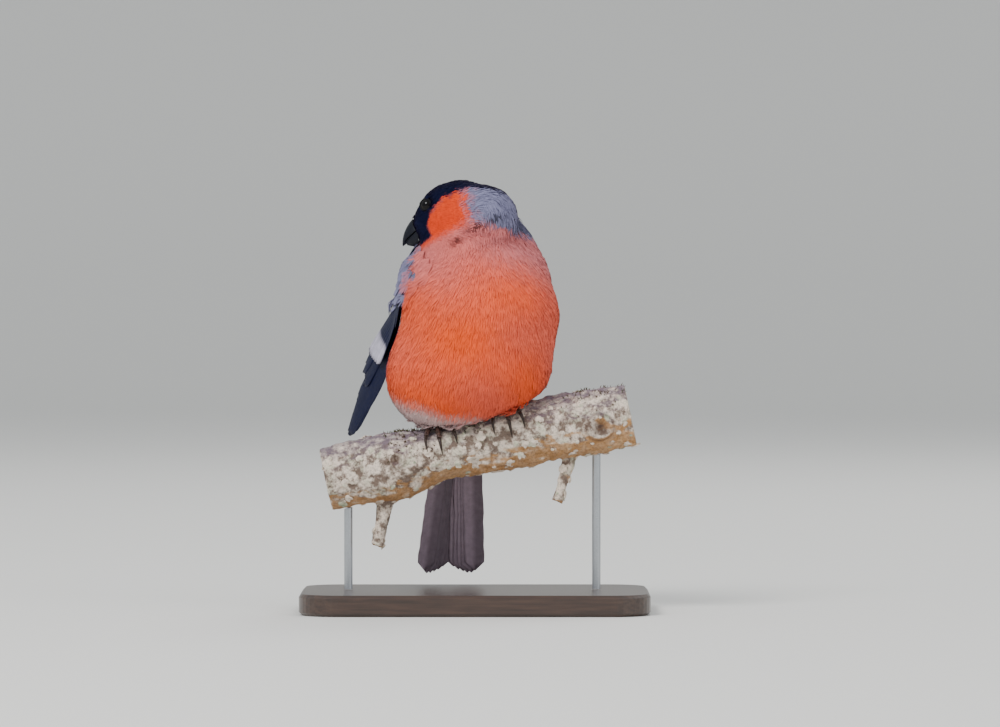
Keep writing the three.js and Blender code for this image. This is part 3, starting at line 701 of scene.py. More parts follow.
class BULLFINCH_OT_coat(bpy.types.Operator):
    """Grow the contour feathers of head, neck and body"""

    bl_idname = "bullfinch.coat"
    bl_label = "Coat"

    def execute(self, context):
        skin = bpy.data.objects["skin"]
        surface = Surface(skin)
        count = context.scene.bird_plumage.feathers
        where, normal = scatter(skin, count, seed=11, density=feather_density)
        ok = clear_of_face(where)
        where, normal = where[ok], normal[ok]
        place = skin_places(where)
        length = feather_size(where) * (1 - 0.65 * crease(where))
        material = plumage_material("Contour feathers", rough=0.85, sheen=0.06, streak_mm=0.25)
        depth = context.scene.bird_plumage.coat_depth
        order = np.argsort(apply(TO_BIRD, where)[:, 2])
        for index, part in enumerate(np.array_split(order, COAT_PIECES)):
            lift = np.minimum(0.22 * length[part], depth) * (1 - 0.7 * crease(where[part]))
            coat_piece(
                f"coat_{index + 1}", material,
                fans(surface, where[part], normal[part], place[part], length[part],
                     width=length[part] * 0.78, lift=lift, seed=20 + index),
            )
        return {"FINISHED"}


def coat_piece(name, material, made, slot="plumage_red"):
    """A piece of the coat from what fans() made."""
    points, quads, colours, spots, facing = made
    piece = array_object(name, points * MM, quads, colours, spots, facing=facing)
    finish_piece(piece, material, slot)


class BULLFINCH_OT_overlap(bpy.types.Operator):
    """Lay the flank, shoulder and mantle feathers over the wings' edges, and bristles over the bill"""

    bl_idname = "bullfinch.overlap"
    bl_label = "Overlapping feathers"

    def execute(self, context):
        material = plumage_material("Overlapping feathers", rough=0.85, sheen=0.06, streak_mm=0.25)
        self.cover_wings(context.scene.bird_plumage, material)
        self.bristle_face(context.scene.bird_plumage, material)
        return {"FINISHED"}

    def cover_wings(self, plumage, material):
        """Body feathers over the shoulder, the front edge and the back edge of both wings."""
        nodes = ["torso", "neck", "wing_left", "wing_right"]
        bed = refined("overlap_bed", nodes, voxel=0.8, rounds=4)
        surface = Surface(bed)
        where, normal = scatter(bed, 5200, seed=31, density=even_density)
        bpy.data.objects.remove(bed)
        chosen = np.zeros(len(where), bool)
        away = np.zeros((len(where), 3))
        greyness = np.zeros(len(where))
        for wing in WINGS.values():
            sheet = Sheet(wing["wrist"], np.subtract(wing["tip"], wing["wrist"]), wing["out"], wing_curve)
            local = apply(TO_BIRD, where) - sheet.origin
            a, b, c = local @ sheet.along, local @ sheet.across, local @ sheet.out
            outer = (c > -11) & (turn(TO_BIRD, normal) @ sheet.out > 0.1)
            shoulder = (a > -8) & (a < 4.5 - 0.12 * b) & (b > -4) & (b < 23)
            front = (a > -6) & (a < 9) & (b > -4.5) & (b < -0.8)
            behind = (a > 2) & (a < 26) & (b > 16.5 + 0.12 * a) & (b < 25)
            here = outer & (shoulder | front | behind)
            chosen |= here
            lean = np.where(front, 0.3, np.where(behind, -0.25, 0.0))[:, None]
            away[here] = turn(BIRD, sheet.along[None] + lean * sheet.across[None])[here]
            greyness[here] = ramp(2.6, 6.0, b + 0.9 * a)[here]
        where, normal, greyness = where[chosen], normal[chosen], greyness[chosen, None]
        # the flank's own colour as it is just in front of the wing, and grey over the wing itself
        tint = marking(where - turn(BIRD, np.array([[0, 12.0, 0]])))
        tint = tint * (1 - greyness) + np.array(plumage.grey) * greyness
        length = np.full(len(where), 6.0)
        coat_piece("coat_over_wings", material, fans(
            surface, where, normal, skin_places(where), length, width=length * 0.8,
            lift=np.full(len(where), 0.75), seed=41, way=laid(away[chosen], normal), tint=tint,
        ))

    def bristle_face(self, plumage, material, count=150):
        """Short black bristles in a ring round the root of the bill."""
        face = refined("face_bed", ["head", "bill_upper", "bill_lower"], voxel=0.35, rounds=2)
        surface = Surface(face)
        bpy.data.objects.remove(face)
        angle = np.linspace(0, 2 * math.pi, count)
        rows_back = -9.6 - 0.5 * (np.arange(count) % 3)
        ring = np.stack([4.6 * np.cos(angle), rows_back, 4.8 * np.sin(angle) - 3.6], 1)
        where, normal = surface.nearest(apply(HEAD, ring))
        forward = turn(HEAD, np.stack([0.1 * np.cos(angle), np.full(count, -1.0), 0.1 * np.sin(angle)], 1))
        length = np.full(count, 2.8)
        coat_piece("coat_bristles", material, fans(
            surface, where, normal, skin_places(where), length, width=length * 0.7,
            lift=np.full(count, 0.45), seed=43, rows=2, way=laid(forward, normal),
            tint=np.tile(plumage.black, (count, 1)),
        ), "plumage_black")


# Wings and tail

VANE_THICK = 0.22  # mm at the root of a flight feather
BED_CLEAR = 0.6  # mm between the flesh and the feathers on it
BED_BLEND = 2.5  # mm over which a sheet eases from its own shape onto the flesh
GRID_STEP = 2.0  # mm between the places where the flesh is felt for
GRID_START = (-20.0, -14.0)  # mm along and across
GRID_CELLS = (64, 30)
FEEL_FROM = 40  # mm out from the sheet
NO_FLESH = -30.0  # mm, where the sheet has nothing under it


class Sheet:
    """Where flight feathers lie: along to their tips, across over the fan, out from the body."""

    def __init__(self, origin, along, out, curve, surface=None):
        self.origin = np.array(origin, float)
        self.along = unit(np.array(along, float))
        out = np.array(out, float)
        self.out = unit(out - self.along * (out @ self.along))
        self.across = unit(np.cross(self.out, self.along))
        if self.across[1] < 0:
            self.across = -self.across
        self.curve = curve
        self.grid = None if surface is None else self.measure(surface)

    def measure(self, surface):
        """Height of the body under the sheet, on a grid."""
        grid = np.full(GRID_CELLS, NO_FLESH)
        way = turn(BIRD, -self.out[None])[0]
        for i, j in np.ndindex(*GRID_CELLS):
            a, b = GRID_START[0] + i * GRID_STEP, GRID_START[1] + j * GRID_STEP
            start = self.origin + self.along * a + self.across * b + self.out * FEEL_FROM
            at, _, _, far = surface.hit(apply(BIRD, start[None])[0], way)
            if at is not None:
                grid[i, j] = max(NO_FLESH, FEEL_FROM - far + BED_CLEAR)
        return grid

    def height(self, a, b):
        """How far the sheet's own curve, or the flesh where that is higher, stands out."""
        design = self.curve(a, b)
        if self.grid is None:
            return design
        g = self.grid
        i = np.clip((a - GRID_START[0]) / GRID_STEP, 0, g.shape[0] - 1.001)
        j = np.clip((b - GRID_START[1]) / GRID_STEP, 0, g.shape[1] - 1.001)
        i0, j0 = i.astype(int), j.astype(int)
        fi, fj = i - i0, j - j0
        body = (
            g[i0, j0] * (1 - fi) * (1 - fj) + g[i0 + 1, j0] * fi * (1 - fj)
            + g[i0, j0 + 1] * (1 - fi) * fj + g[i0 + 1, j0 + 1] * fi * fj
        )
        h = np.maximum(BED_BLEND - np.abs(design - body), 0) / BED_BLEND
        return np.maximum(design, body) + h * h * BED_BLEND / 4

    def point(self, a, b, c):
        """Places in the model's frame, c above the sheet."""
        h = c + self.height(a, b)
        local = (
            self.origin + a[..., None] * self.along + b[..., None] * self.across + h[..., None] * self.out
        )
        return apply(BIRD, local.reshape(-1, 3)).reshape(local.shape)


def blade(sheet, feather, rng):
    """One flight feather: a closed blade with a raised shaft, ragged barbs and a rounded tip."""
    rows, columns = 22, 9
    t = np.linspace(0, 1, rows)
    s = np.linspace(-1, 1, columns)
    root, tip = np.array(feather["root"], float), np.array(feather["tip"], float)
    way = tip - root
    length = np.linalg.norm(way)
    way = way / length
    sweep = feather.get("sweep", 0)
    point = feather.get("point", 1.0)
    tip_span = np.minimum(1, feather["width"] * 0.62 * point / length)
    rounded = np.sqrt(np.maximum(0, 1 - ((t - 1 + tip_span) / tip_span) ** 2))
    rounded = np.where(t > 1 - tip_span, rounded, 1)
    profile = (0.42 + 0.58 * ramp(0, 0.4, t)) * np.maximum(rounded, 0.04)
    half = 0.5 * feather["width"] * profile[:, None]
    notch = 0.12 * rng.normal(size=(rows, 2)) * (t[:, None] > 0.2)
    edge = np.zeros((rows, columns))
    edge[:, 0], edge[:, -1] = notch[:, 0], notch[:, 1]
    bow = sweep * np.sin(math.pi * t)
    a = root[0] + way[0] * length * t[:, None] - way[1] * (bow[:, None] + half * s + edge)
    b = root[1] + way[1] * length * t[:, None] + way[0] * (bow[:, None] + half * s + edge)
    lift = feather["lift"][0] * (1 - t) + feather["lift"][1] * t
    camber = feather.get("camber", 0.06) * feather["width"] * (1 - s**2)
    shaft = 0.16 * np.exp(-((s / 0.10) ** 2)) * (1 - 0.7 * t[:, None])
    tilt = feather.get("tilt", 0.25) * s[None, :]
    c = lift[:, None] + camber[None, :] * profile[:, None] + tilt + shaft
    thick = VANE_THICK * (1 - 0.45 * t[:, None]) * (1 - 0.4 * np.abs(s)[None, :])
    upper = sheet.point(a, b, c)
    lower = sheet.point(a, b, c - thick)
    points = np.concatenate([upper.reshape(-1, 3), lower.reshape(-1, 3)])
    index = np.arange(rows * columns).reshape(rows, columns)
    low = index + rows * columns
    p, q, r, w = index[:-1, :-1], index[1:, :-1], index[1:, 1:], index[:-1, 1:]
    quads = [np.stack([p, q, r, w], -1).reshape(-1, 4)]
    p, q, r, w = low[:-1, :-1], low[:-1, 1:], low[1:, 1:], low[1:, :-1]
    quads.append(np.stack([p, q, r, w], -1).reshape(-1, 4))
    for left, flip in ((0, False), (columns - 1, True)):
        ring = np.stack([index[:-1, left], low[:-1, left], low[1:, left], index[1:, left]], -1)
        quads.append(ring[:, ::-1] if flip else ring)
    for row, flip in ((0, True), (rows - 1, False)):
        ring = np.stack([index[row, :-1], low[row, :-1], low[row, 1:], index[row, 1:]], -1)
        quads.append(ring[:, ::-1] if flip else ring)
    uv = np.stack(np.broadcast_arrays(half * s, length * t[:, None]), -1).reshape(-1, 2)
    uv = np.concatenate([uv, uv])
    share_t = np.broadcast_to(t[:, None], (rows, columns)).reshape(-1)
    share_s = np.broadcast_to(s[None, :], (rows, columns)).reshape(-1)
    return points, np.concatenate(quads), uv, np.tile(share_t, 2), np.tile(share_s, 2)


def feather_piece(name, sheet, feathers, paint, material, slot, *nodes):
    """Joined blades as one piece. paint gives linear colours from (feather, t, s)."""
    rng = np.random.default_rng(len(name))
    points, quads, uvs, colours, spots = [], [], [], [], []
    total = 0
    side = int(math.ceil(math.sqrt(len(feathers))))
    cell = 1 / side  # each blade has a square of the OFBake map to itself
    for number, feather in enumerate(feathers):
        p, q, uv, t, s = blade(sheet, feather, rng)
        points.append(p)
        quads.append(q + total)
        total += len(p)
        uvs.append(uv)
        colours.append(paint(feather, t, s) * (1 + 0.05 * rng.normal()))
        corner = np.array([number % side, number // side]) * cell
        spots.append(corner + cell * (0.08 + 0.84 * np.stack([(s + 1) / 2, t], 1)))
    piece = array_object(
        name, np.concatenate(points) * MM, np.concatenate(quads),
        np.clip(np.concatenate(colours), 0, 1), np.concatenate(spots), np.concatenate(uvs),
    )
    fix_outward(piece)
    finish_piece(piece, material, slot, *nodes)


def fix_outward(obj):
    """Make every face of a closed mesh point out."""
    bm = bmesh.new()
    bm.from_mesh(obj.data)
    bmesh.ops.recalc_face_normals(bm, faces=bm.faces)
    bm.to_mesh(obj.data)
    bm.free()


BARB_SLOPE = -1.1  # barbs leave the shaft at about 42 degrees
BARB_SPACING = 0.55  # mm: coarser than the real 0.2 or so, to show


def flight_material(name, rough, gloss):
    """Stiff glossy vanes: barbs run out from the shaft, each a fine ridge, with a satin shine."""
    material, add = new_material(name)
    at = add("ShaderNodeTexCoord").outputs["Object"]
    uv = add("ShaderNodeUVMap", uv_map="FeatherUV").outputs["UV"]
    parts = add("ShaderNodeSeparateXYZ", {"Vector": uv})
    out = add("ShaderNodeMath", {0: parts.outputs["X"]}, operation="ABSOLUTE").outputs[0]
    lean = add(
        "ShaderNodeMath", {0: out, 1: BARB_SLOPE, 2: parts.outputs["Y"]}, operation="MULTIPLY_ADD"
    ).outputs[0]
    line = add("ShaderNodeMath", {0: lean, 1: 2 * math.pi / BARB_SPACING}, operation="MULTIPLY").outputs[0]
    wave = add("ShaderNodeMath", {0: line}, operation="SINE").outputs[0]
    ridge = add("ShaderNodeMath", {0: wave, 1: 0.5, 2: 0.5}, operation="MULTIPLY_ADD").outputs[0]
    worn = add("ShaderNodeTexNoise", {
        "Vector": at, "Scale": 0.5 / MM, "Detail": 4, "Roughness": 0.55,
    }).outputs["Fac"]
    tone = add("ShaderNodeAttribute", attribute_name="Marking").outputs["Color"]
    for pattern, stops in ((ridge, [(0.0, 0.80), (1.0, 1.12)]), (worn, [(0.3, 0.85), (0.7, 1.1)])):
        shade = add("ShaderNodeValToRGB", {"Fac": pattern}, stops).outputs["Color"]
        tone = add("ShaderNodeMix", {0: 1.0, 6: tone, 7: shade}, **MULTIPLY).outputs[2]
    bump = add("ShaderNodeBump", {"Height": ridge, "Strength": 0.5, "Distance": 0.06 * MM})
    surface = add("ShaderNodeBsdfPrincipled", {
        "Base Color": tone, "Roughness": rough, "Specular IOR Level": 0.18, "Coat Weight": gloss,
        "Coat Roughness": 0.3, "Normal": bump.outputs["Normal"],
    })
    add("ShaderNodeOutputMaterial", {"Surface": surface.outputs["BSDF"]})
    return material


# The wings' sheets, in the bird's own frame
WINGS = {
    "right": {"wrist": (-20.5, -7.5, 125.5), "tip": (-39.2, 34, 65.5), "out": (-0.95, 0.0, 0.2)},
    "left": {"wrist": (24, -2, 126.5), "tip": (19, 37, 63.5), "out": (0.9, 0.25, 0.3)},
}
WING_WRAP = 34.0  # mm, the radius that a folded wing bends to


def wing_curve(a, b):
    """A folded wing bends round the body, more at the wrist than at the tip."""
    return -((b - 6) ** 2) / (2 * WING_WRAP) * np.clip(1.1 - a / 160, 0.4, 1)


def shoulder_dome(a):
    """Height of the flesh under the lesser coverts."""
    return 3.0 * math.sqrt(max(0.0, 1 - ((a - 12) / 16.5) ** 2))


def wing_feathers():
    """Every tier of a folded wing, from the bottom layer to the top one."""
    primaries, covers, small = [], [], []
    for i, length in enumerate((75.5, 77.8, 78, 77, 74, 70.5, 67.5, 65, 63)):
        primaries.append({
            "kind": "primary", "root": (8 + 0.8 * i, 3.5 + 0.7 * i), "tip": (length, 3.0 + 0.95 * i),
            "width": 6.4, "lift": (0.1 + 0.08 * i, 0.1 + 0.24 * i), "sweep": -2.2, "point": 1.7,
        })
    for i, length in enumerate((57.5, 56.3, 55.2, 54.2, 53.2, 52.3)):
        primaries.append({
            "kind": "secondary", "root": (12 + i, 9 + 1.5 * i), "tip": (length, 8.5 + 1.65 * i),
            "width": 7.4, "lift": (0.6 + 0.08 * i, 2.1 + 0.20 * i), "sweep": -0.8,
        })
    for i, length in enumerate((56, 53, 50)):
        primaries.append({
            "kind": "tertial", "root": (13, 13 + 2.2 * i), "tip": (length, 15.6 + 2.4 * i),
            "width": 9.0, "lift": (1.2, 3.3 + 0.4 * i),
        })
    for i in range(6):
        covers.append({
            "kind": "primary covert", "root": (3 + 0.5 * i, 1.6 + 0.7 * i),
            "tip": (24.5 + 0.7 * i, 0.9 + 1.0 * i), "width": 4.2, "lift": (0.9, 1.5 + 0.22 * i),
            "point": 1.4,
        })
    for i in range(9):
        covers.append({
            "kind": "greater covert", "root": (10, 3.4 + 1.9 * i), "tip": (43 + 0.6 * i, 2.8 + 2.15 * i),
            "width": 5.4, "lift": (1.3, 3.3 + 0.2 * i),
        })
    for i in range(9):
        small.append({
            "kind": "median covert", "root": (5, 2.6 + 1.8 * i), "tip": (15.5 + 1.2 * i, 2.2 + 2.05 * i),
            "width": 4.6, "lift": (1.2 + 0.12 * i, 3.1 + 0.2 * i),
        })
    for row in range(3):
        for i in range(9):
            a, b = 12.5 - 3.2 * row + 0.6 * i, 1.4 + 2.1 * i + 0.9 * (row % 2)
            edge = 0.12 + 0.88 * ramp(0, 6, b)
            small.append({
                "kind": "lesser covert", "root": (a - 6.5, b), "tip": (a, b), "width": 4.2,
                "lift": (edge * (shoulder_dome(a - 6.5) - 0.3), edge * (shoulder_dome(a) + 1.0)),
            })
    for row in range(4):
        for k in range(3):
            small.append({
                "kind": "scapular", "root": (5.5 * row - 5, 22.5 - k), "tip": (8 + 6.5 * row, 21 - 2.2 * k),
                "width": 6.0, "lift": (0.6, 3.6 + 0.12 * k), "point": 1.2,
            })
    return primaries, covers, small


def wing_paint(feather, t, s):
    """Black flight feathers, pale tips to the greater coverts, and grey small coverts."""
    plumage = bpy.context.scene.bird_plumage
    black, bar, grey = (np.array(c) for c in (plumage.black, plumage.bar, plumage.grey))
    rgb = np.tile(black, (len(t), 1))
    kind = feather["kind"]
    if kind == "greater covert":
        amount = (ramp(0.72, 0.78, t) * (1 - 0.8 * ramp(0.55, 0.9, np.abs(s))))[:, None]
        rgb = rgb * (1 - amount) + bar * amount
    elif kind in ("median covert", "lesser covert", "scapular"):
        rgb = np.tile(grey, (len(t), 1)) * (0.55 + 0.45 * t[:, None])
    elif kind == "primary":
        # a pale grey edge on one web of each primary: partly a pale fringe, partly painted highlight where
        # the folded wing's edge catches the light
        amount = 0.35 * ramp(0.8, 1.0, s)[:, None] * ramp(0.3, 0.5, t)[:, None]
        rgb = rgb * (1 - amount) + grey * amount
    return rgb


class BULLFINCH_OT_wings(bpy.types.Operator):
    """Lay the flight feathers and coverts of both folded wings"""

    bl_idname = "bullfinch.wings"
    bl_label = "Wings"

    def execute(self, context):
        solid = refined("wing_bed", ["torso", "neck"], voxel=1.2, rounds=3)
        surface = Surface(solid)
        bpy.data.objects.remove(solid)
        gloss = flight_material("Glossy flight feathers", rough=0.5, gloss=0.03)
        soft = flight_material("Wing coverts", rough=0.7, gloss=0.0)
        tiers, finishes = wing_feathers(), (gloss, gloss, soft)
        for side, wing in WINGS.items():
            along = np.subtract(wing["tip"], wing["wrist"])
            sheet = Sheet(wing["wrist"], along, wing["out"], wing_curve, surface)
            for name, feathers, finish in zip(("flight", "coverts", "shoulder"), tiers, finishes):
                feather_piece(
                    f"wing_{side}_{name}", sheet, feathers, wing_paint, finish, "plumage_black",
                    f"wing_{side}",
                )
        return {"FINISHED"}


# The tail's sheet, in the bird's own frame, and its feathers from the middle pair out
TAIL_ROOT = (0.8, 26.5, 82)
TAIL_ALONG = (0.0, 0.25, -0.966)
TAIL_OUT = (0, 1, 0.26)
TAIL_ROOF = 0.14
TAIL_LENGTHS = (69.4, 70.4, 71, 71.4, 71.2, 70.2)
TAIL_SPREAD = (2.0, 4.0, 5.8, 7.4, 8.8, 9.9)


def tail_roof(a, b):
    """The tail slopes down to both sides like a roof."""
    return -TAIL_ROOF * np.abs(b)


def tail_feathers():
    """Six pairs of tail feathers, the outermost first, and the coverts over and under their roots."""
    rectrices, covers = [], []
    for i in range(5, -1, -1):
        for side in (-1, 1):
            offset = 0.14 if side > 0 else 0
            rectrices.append({
                "kind": "rectrix", "root": (2, side * (0.8 + 0.75 * i)),
                "tip": (TAIL_LENGTHS[i], side * TAIL_SPREAD[i]), "width": 7.4,
                "lift": (-0.2 - 0.2 * i + offset, 0.2 - 0.36 * i + offset), "tilt": -0.1 * side,
            })
    for row in range(3):
        for i in range(-3, 4):
            root = (-3 * row, i * 1.7)
            covers.append({
                "kind": "under covert", "root": root, "tip": (24 - 6 * row - 0.8 * abs(i), i * 2.1),
                "width": 5.0, "lift": (-1.6, -2.6 - 0.4 * row + 0.15 * abs(i)), "camber": -0.06,
            })
            covers.append({
                "kind": "upper covert", "root": root, "tip": (25 - 6 * row - 0.8 * abs(i), i * 2.1),
                "width": 5.0, "lift": (0.8, 1.3 + 0.4 * row - 0.12 * abs(i)),
            })
    return rectrices, covers


def tail_paint(feather, t, s):
    """Black above and mauve-grey below, under white coverts. A blade's lower points come second."""
    plumage = bpy.context.scene.bird_plumage
    if feather["kind"] != "rectrix":
        return np.array(plumage.white) * 0.9 * (0.75 + 0.25 * t[:, None])
    half = len(t) // 2
    rgb = np.tile(plumage.black, (len(t), 1))
    rgb[half:] = np.array(plumage.tail_under) * (0.55 + 0.45 * ramp(-0.3, 0.3, s[half:])[:, None])
    return rgb


class BULLFINCH_OT_tail(bpy.types.Operator):
    """Lay the tail feathers and the coverts over and under their roots"""

    bl_idname = "bullfinch.tail"
    bl_label = "Tail"

    def execute(self, context):
        sheet = Sheet(TAIL_ROOT, TAIL_ALONG, TAIL_OUT, tail_roof)
        rectrices, covers = tail_feathers()
        gloss = flight_material("Tail feathers", rough=0.5, gloss=0.04)
        down = flight_material("Tail coverts", rough=0.8, gloss=0.0)
        feather_piece("tail_feathers", sheet, rectrices, tail_paint, gloss, "plumage_tail", "tail")
        feather_piece("tail_coverts", sheet, covers, tail_paint, down, "plumage_grey")
        return {"FINISHED"}


# Bill, eyes, legs and feet


def horn_material(name, dark, pale, rough):
    """Keratin: dark and smooth, with a thin clear coat and faint growth lines."""
    material, add = new_material(name)
    at = add("ShaderNodeTexCoord").outputs["Object"]
    lines = add("ShaderNodeTexNoise", {
        "Vector": at, "Scale": 1.4 / MM, "Detail": 5, "Roughness": 0.55,
    }).outputs["Fac"]
    stops = [(0.25, linear(dark)), (0.8, linear(pale))]
    tone = add("ShaderNodeValToRGB", {"Fac": lines}, stops).outputs["Color"]
    bump = add("ShaderNodeBump", {"Height": lines, "Strength": 0.3, "Distance": 0.1 * MM})
    surface = add("ShaderNodeBsdfPrincipled", {
        "Base Color": tone, "Roughness": rough, "IOR": 1.54, "Specular IOR Level": 0.2,
        "Coat Weight": 0.05, "Coat Roughness": 0.25, "Normal": bump.outputs["Normal"],
    })
    add("ShaderNodeOutputMaterial", {"Surface": surface.outputs["BSDF"]})
    return material


class BULLFINCH_OT_bill(bpy.types.Operator):
    """Smooth the two mandibles and give them their horn"""

    bl_idname = "bullfinch.bill"
    bl_label = "Bill"

    def execute(self, context):
        horn = horn_material("Bill horn", "#04060F", "#0D101E", rough=0.42)
        for node in ("bill_upper", "bill_lower"):
            piece = refined(f"{node}_horn", [node], voxel=0.13, rounds=3)
            finish_piece(piece, horn, "horn", node)
        return {"FINISHED"}


class BULLFINCH_OT_eyes(bpy.types.Operator):
    """Make both eyes and the bare lids round them"""

    bl_idname = "bullfinch.eyes"
    bl_label = "Eyes"

    def execute(self, context):
        wet, skin = wet_material(), lid_material()
        iris, black = np.array(linear("#0C0705")), np.array(linear("#050405"))
        for side, sign in (("left", 1), ("right", -1)):
            low, high = (np.array(c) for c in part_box(f"eye_{side}"))
            middle, radius = (low + high) / 2, (high - low).max() / 2
            look = turn(HEAD, unit(np.array([[sign * 0.95, -0.26, 0.1]])))[0]
            bm = bmesh.new()
            bmesh.ops.create_uvsphere(bm, u_segments=48, v_segments=32, radius=radius)
            mesh = bpy.data.meshes.new(f"eyeball_{side}")
            bm.to_mesh(mesh)
            bm.free()
            eye = linked(f"eyeball_{side}", mesh)
            points = coords(eye)
            pupil = ramp(0.86, 0.90, unit(points) @ look)[:, None]
            paint_points(mesh, iris * (1 - pupil) + black * pupil)
            set_coords(eye, points + middle)
            mesh.polygons.foreach_set("use_smooth", [True] * len(mesh.polygons))
            finish_piece(eye, wet, "eye", f"eye_{side}")
            finish_piece(ring_of_lid(f"lid_{side}", middle / MM, look, radius / MM), skin, "horn")
        return {"FINISHED"}


def wet_material():
    """Wet eye: a cornea over a dark brown iris, almost black, with one sharp glint."""
    material, add = new_material("Wet eye")
    tone = add("ShaderNodeAttribute", attribute_name="Marking").outputs["Color"]
    surface = add("ShaderNodeBsdfPrincipled", {
        "Base Color": tone, "Roughness": 0.07, "IOR": 1.36, "Specular IOR Level": 0.35,
    })
    add("ShaderNodeOutputMaterial", {"Surface": surface.outputs["BSDF"]})
    return material


def lid_material():
    """Lid skin: thin and bare, dark, matt and finely wrinkled."""
    material, add = new_material("Lid skin")
    at = add("ShaderNodeTexCoord").outputs["Object"]
    wrinkles = add("ShaderNodeTexNoise", {
        "Vector": at, "Scale": 5 / MM, "Detail": 4, "Roughness": 0.55,
    }).outputs["Fac"]
    stops = [(0.3, linear("#04050A")), (0.8, linear("#0A0B12"))]
    tone = add("ShaderNodeValToRGB", {"Fac": wrinkles}, stops).outputs["Color"]
    bump = add("ShaderNodeBump", {"Height": wrinkles, "Strength": 0.5, "Distance": 0.1 * MM})
    surface = add("ShaderNodeBsdfPrincipled", {
        "Base Color": tone, "Roughness": 0.7, "Specular IOR Level": 0.2, "Normal": bump.outputs["Normal"],
    })
    add("ShaderNodeOutputMaterial", {"Surface": surface.outputs["BSDF"]})
    return material


def ring_of_lid(name, middle, look, radius):
    """A soft ring of lid folds round an eyeball."""
    up = unit(np.array([0, 0, 1.0]) - look * look[2])
    side = np.cross(look, up)
    rings, folds = 40, 8
    points = np.empty((rings, folds, 3))
    for i in range(rings):
        angle = 2 * math.pi * i / rings
        out = math.cos(angle) * side + math.sin(angle) * up * 0.92
        fold = 0.42 + 0.06 * math.sin(7 * angle)
        for k in range(folds):
            turn_by = 2 * math.pi * k / folds
            points[i, k] = (
                middle + look * (radius * 0.60 + fold * math.sin(turn_by))
                + out * (radius * 0.83 + fold * math.cos(turn_by))
            )
    faces = []
    for i in range(rings):
        for k in range(folds):
            j, m = (i + 1) % rings, (k + 1) % folds
            faces.append((i * folds + k, j * folds + k, j * folds + m, i * folds + m))
    obj = mesh_object(name, points.reshape(-1, 3) * MM, faces)
    fix_outward(obj)
    return obj


class BULLFINCH_OT_feet(bpy.types.Operator):
    """Smooth the legs, toes and claws and give them scaled skin and horn"""

    bl_idname = "bullfinch.feet"
    bl_label = "Legs and feet"

    def execute(self, context):
        skin = scale_material()
        horn = horn_material("Claw horn", "#16110F", "#4A3B33", rough=0.3)
        for node in list(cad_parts):
            kind = node.split("_")[0]
            if kind == "claw":
                piece = refined(f"{node}_skin", [node], voxel=0.12, rounds=3)
                finish_piece(piece, horn, "horn", node)
            elif kind in ("foot", "leg"):
                piece = refined(f"{node}_skin", [node], voxel=0.2, rounds=3)
                finish_piece(piece, skin, "leg_scale", node)
        return {"FINISHED"}


def scale_material():
    """Scaled leg skin: brown-pink scutes with dark grooves between them."""
    material, add = new_material("Scaled leg skin")
    at = add("ShaderNodeTexCoord").outputs["Object"]
    plates = add(
        "ShaderNodeTexVoronoi", {"Vector": at, "Scale": 0.9 / MM},  # scutes a little over 1 mm long
        feature="DISTANCE_TO_EDGE",
    ).outputs["Distance"]
    stops = [(0.0, linear("#241713")), (0.25, linear("#5B4037"))]
    tone = add("ShaderNodeValToRGB", {"Fac": plates}, stops).outputs["Color"]
    bump = add("ShaderNodeBump", {"Height": plates, "Strength": 0.6, "Distance": 0.2 * MM})
    surface = add("ShaderNodeBsdfPrincipled", {
        "Base Color": tone, "Roughness": 0.5, "Normal": bump.outputs["Normal"],
    })
    add("ShaderNodeOutputMaterial", {"Surface": surface.outputs["BSDF"]})
    return material


# Branch


# Patterns of bark and crust: patches to each mm, detail and roughness of the noise
GRIT = (1.1, 8, 0.7)  # about 1 mm across
CRUST_PATCHES = (0.26, 8, 0.7)  # about 4 mm across
GREEN_PATCHES = (0.15, 6, 0.6)
WEATHERING = (0.10, 5, 0.65)


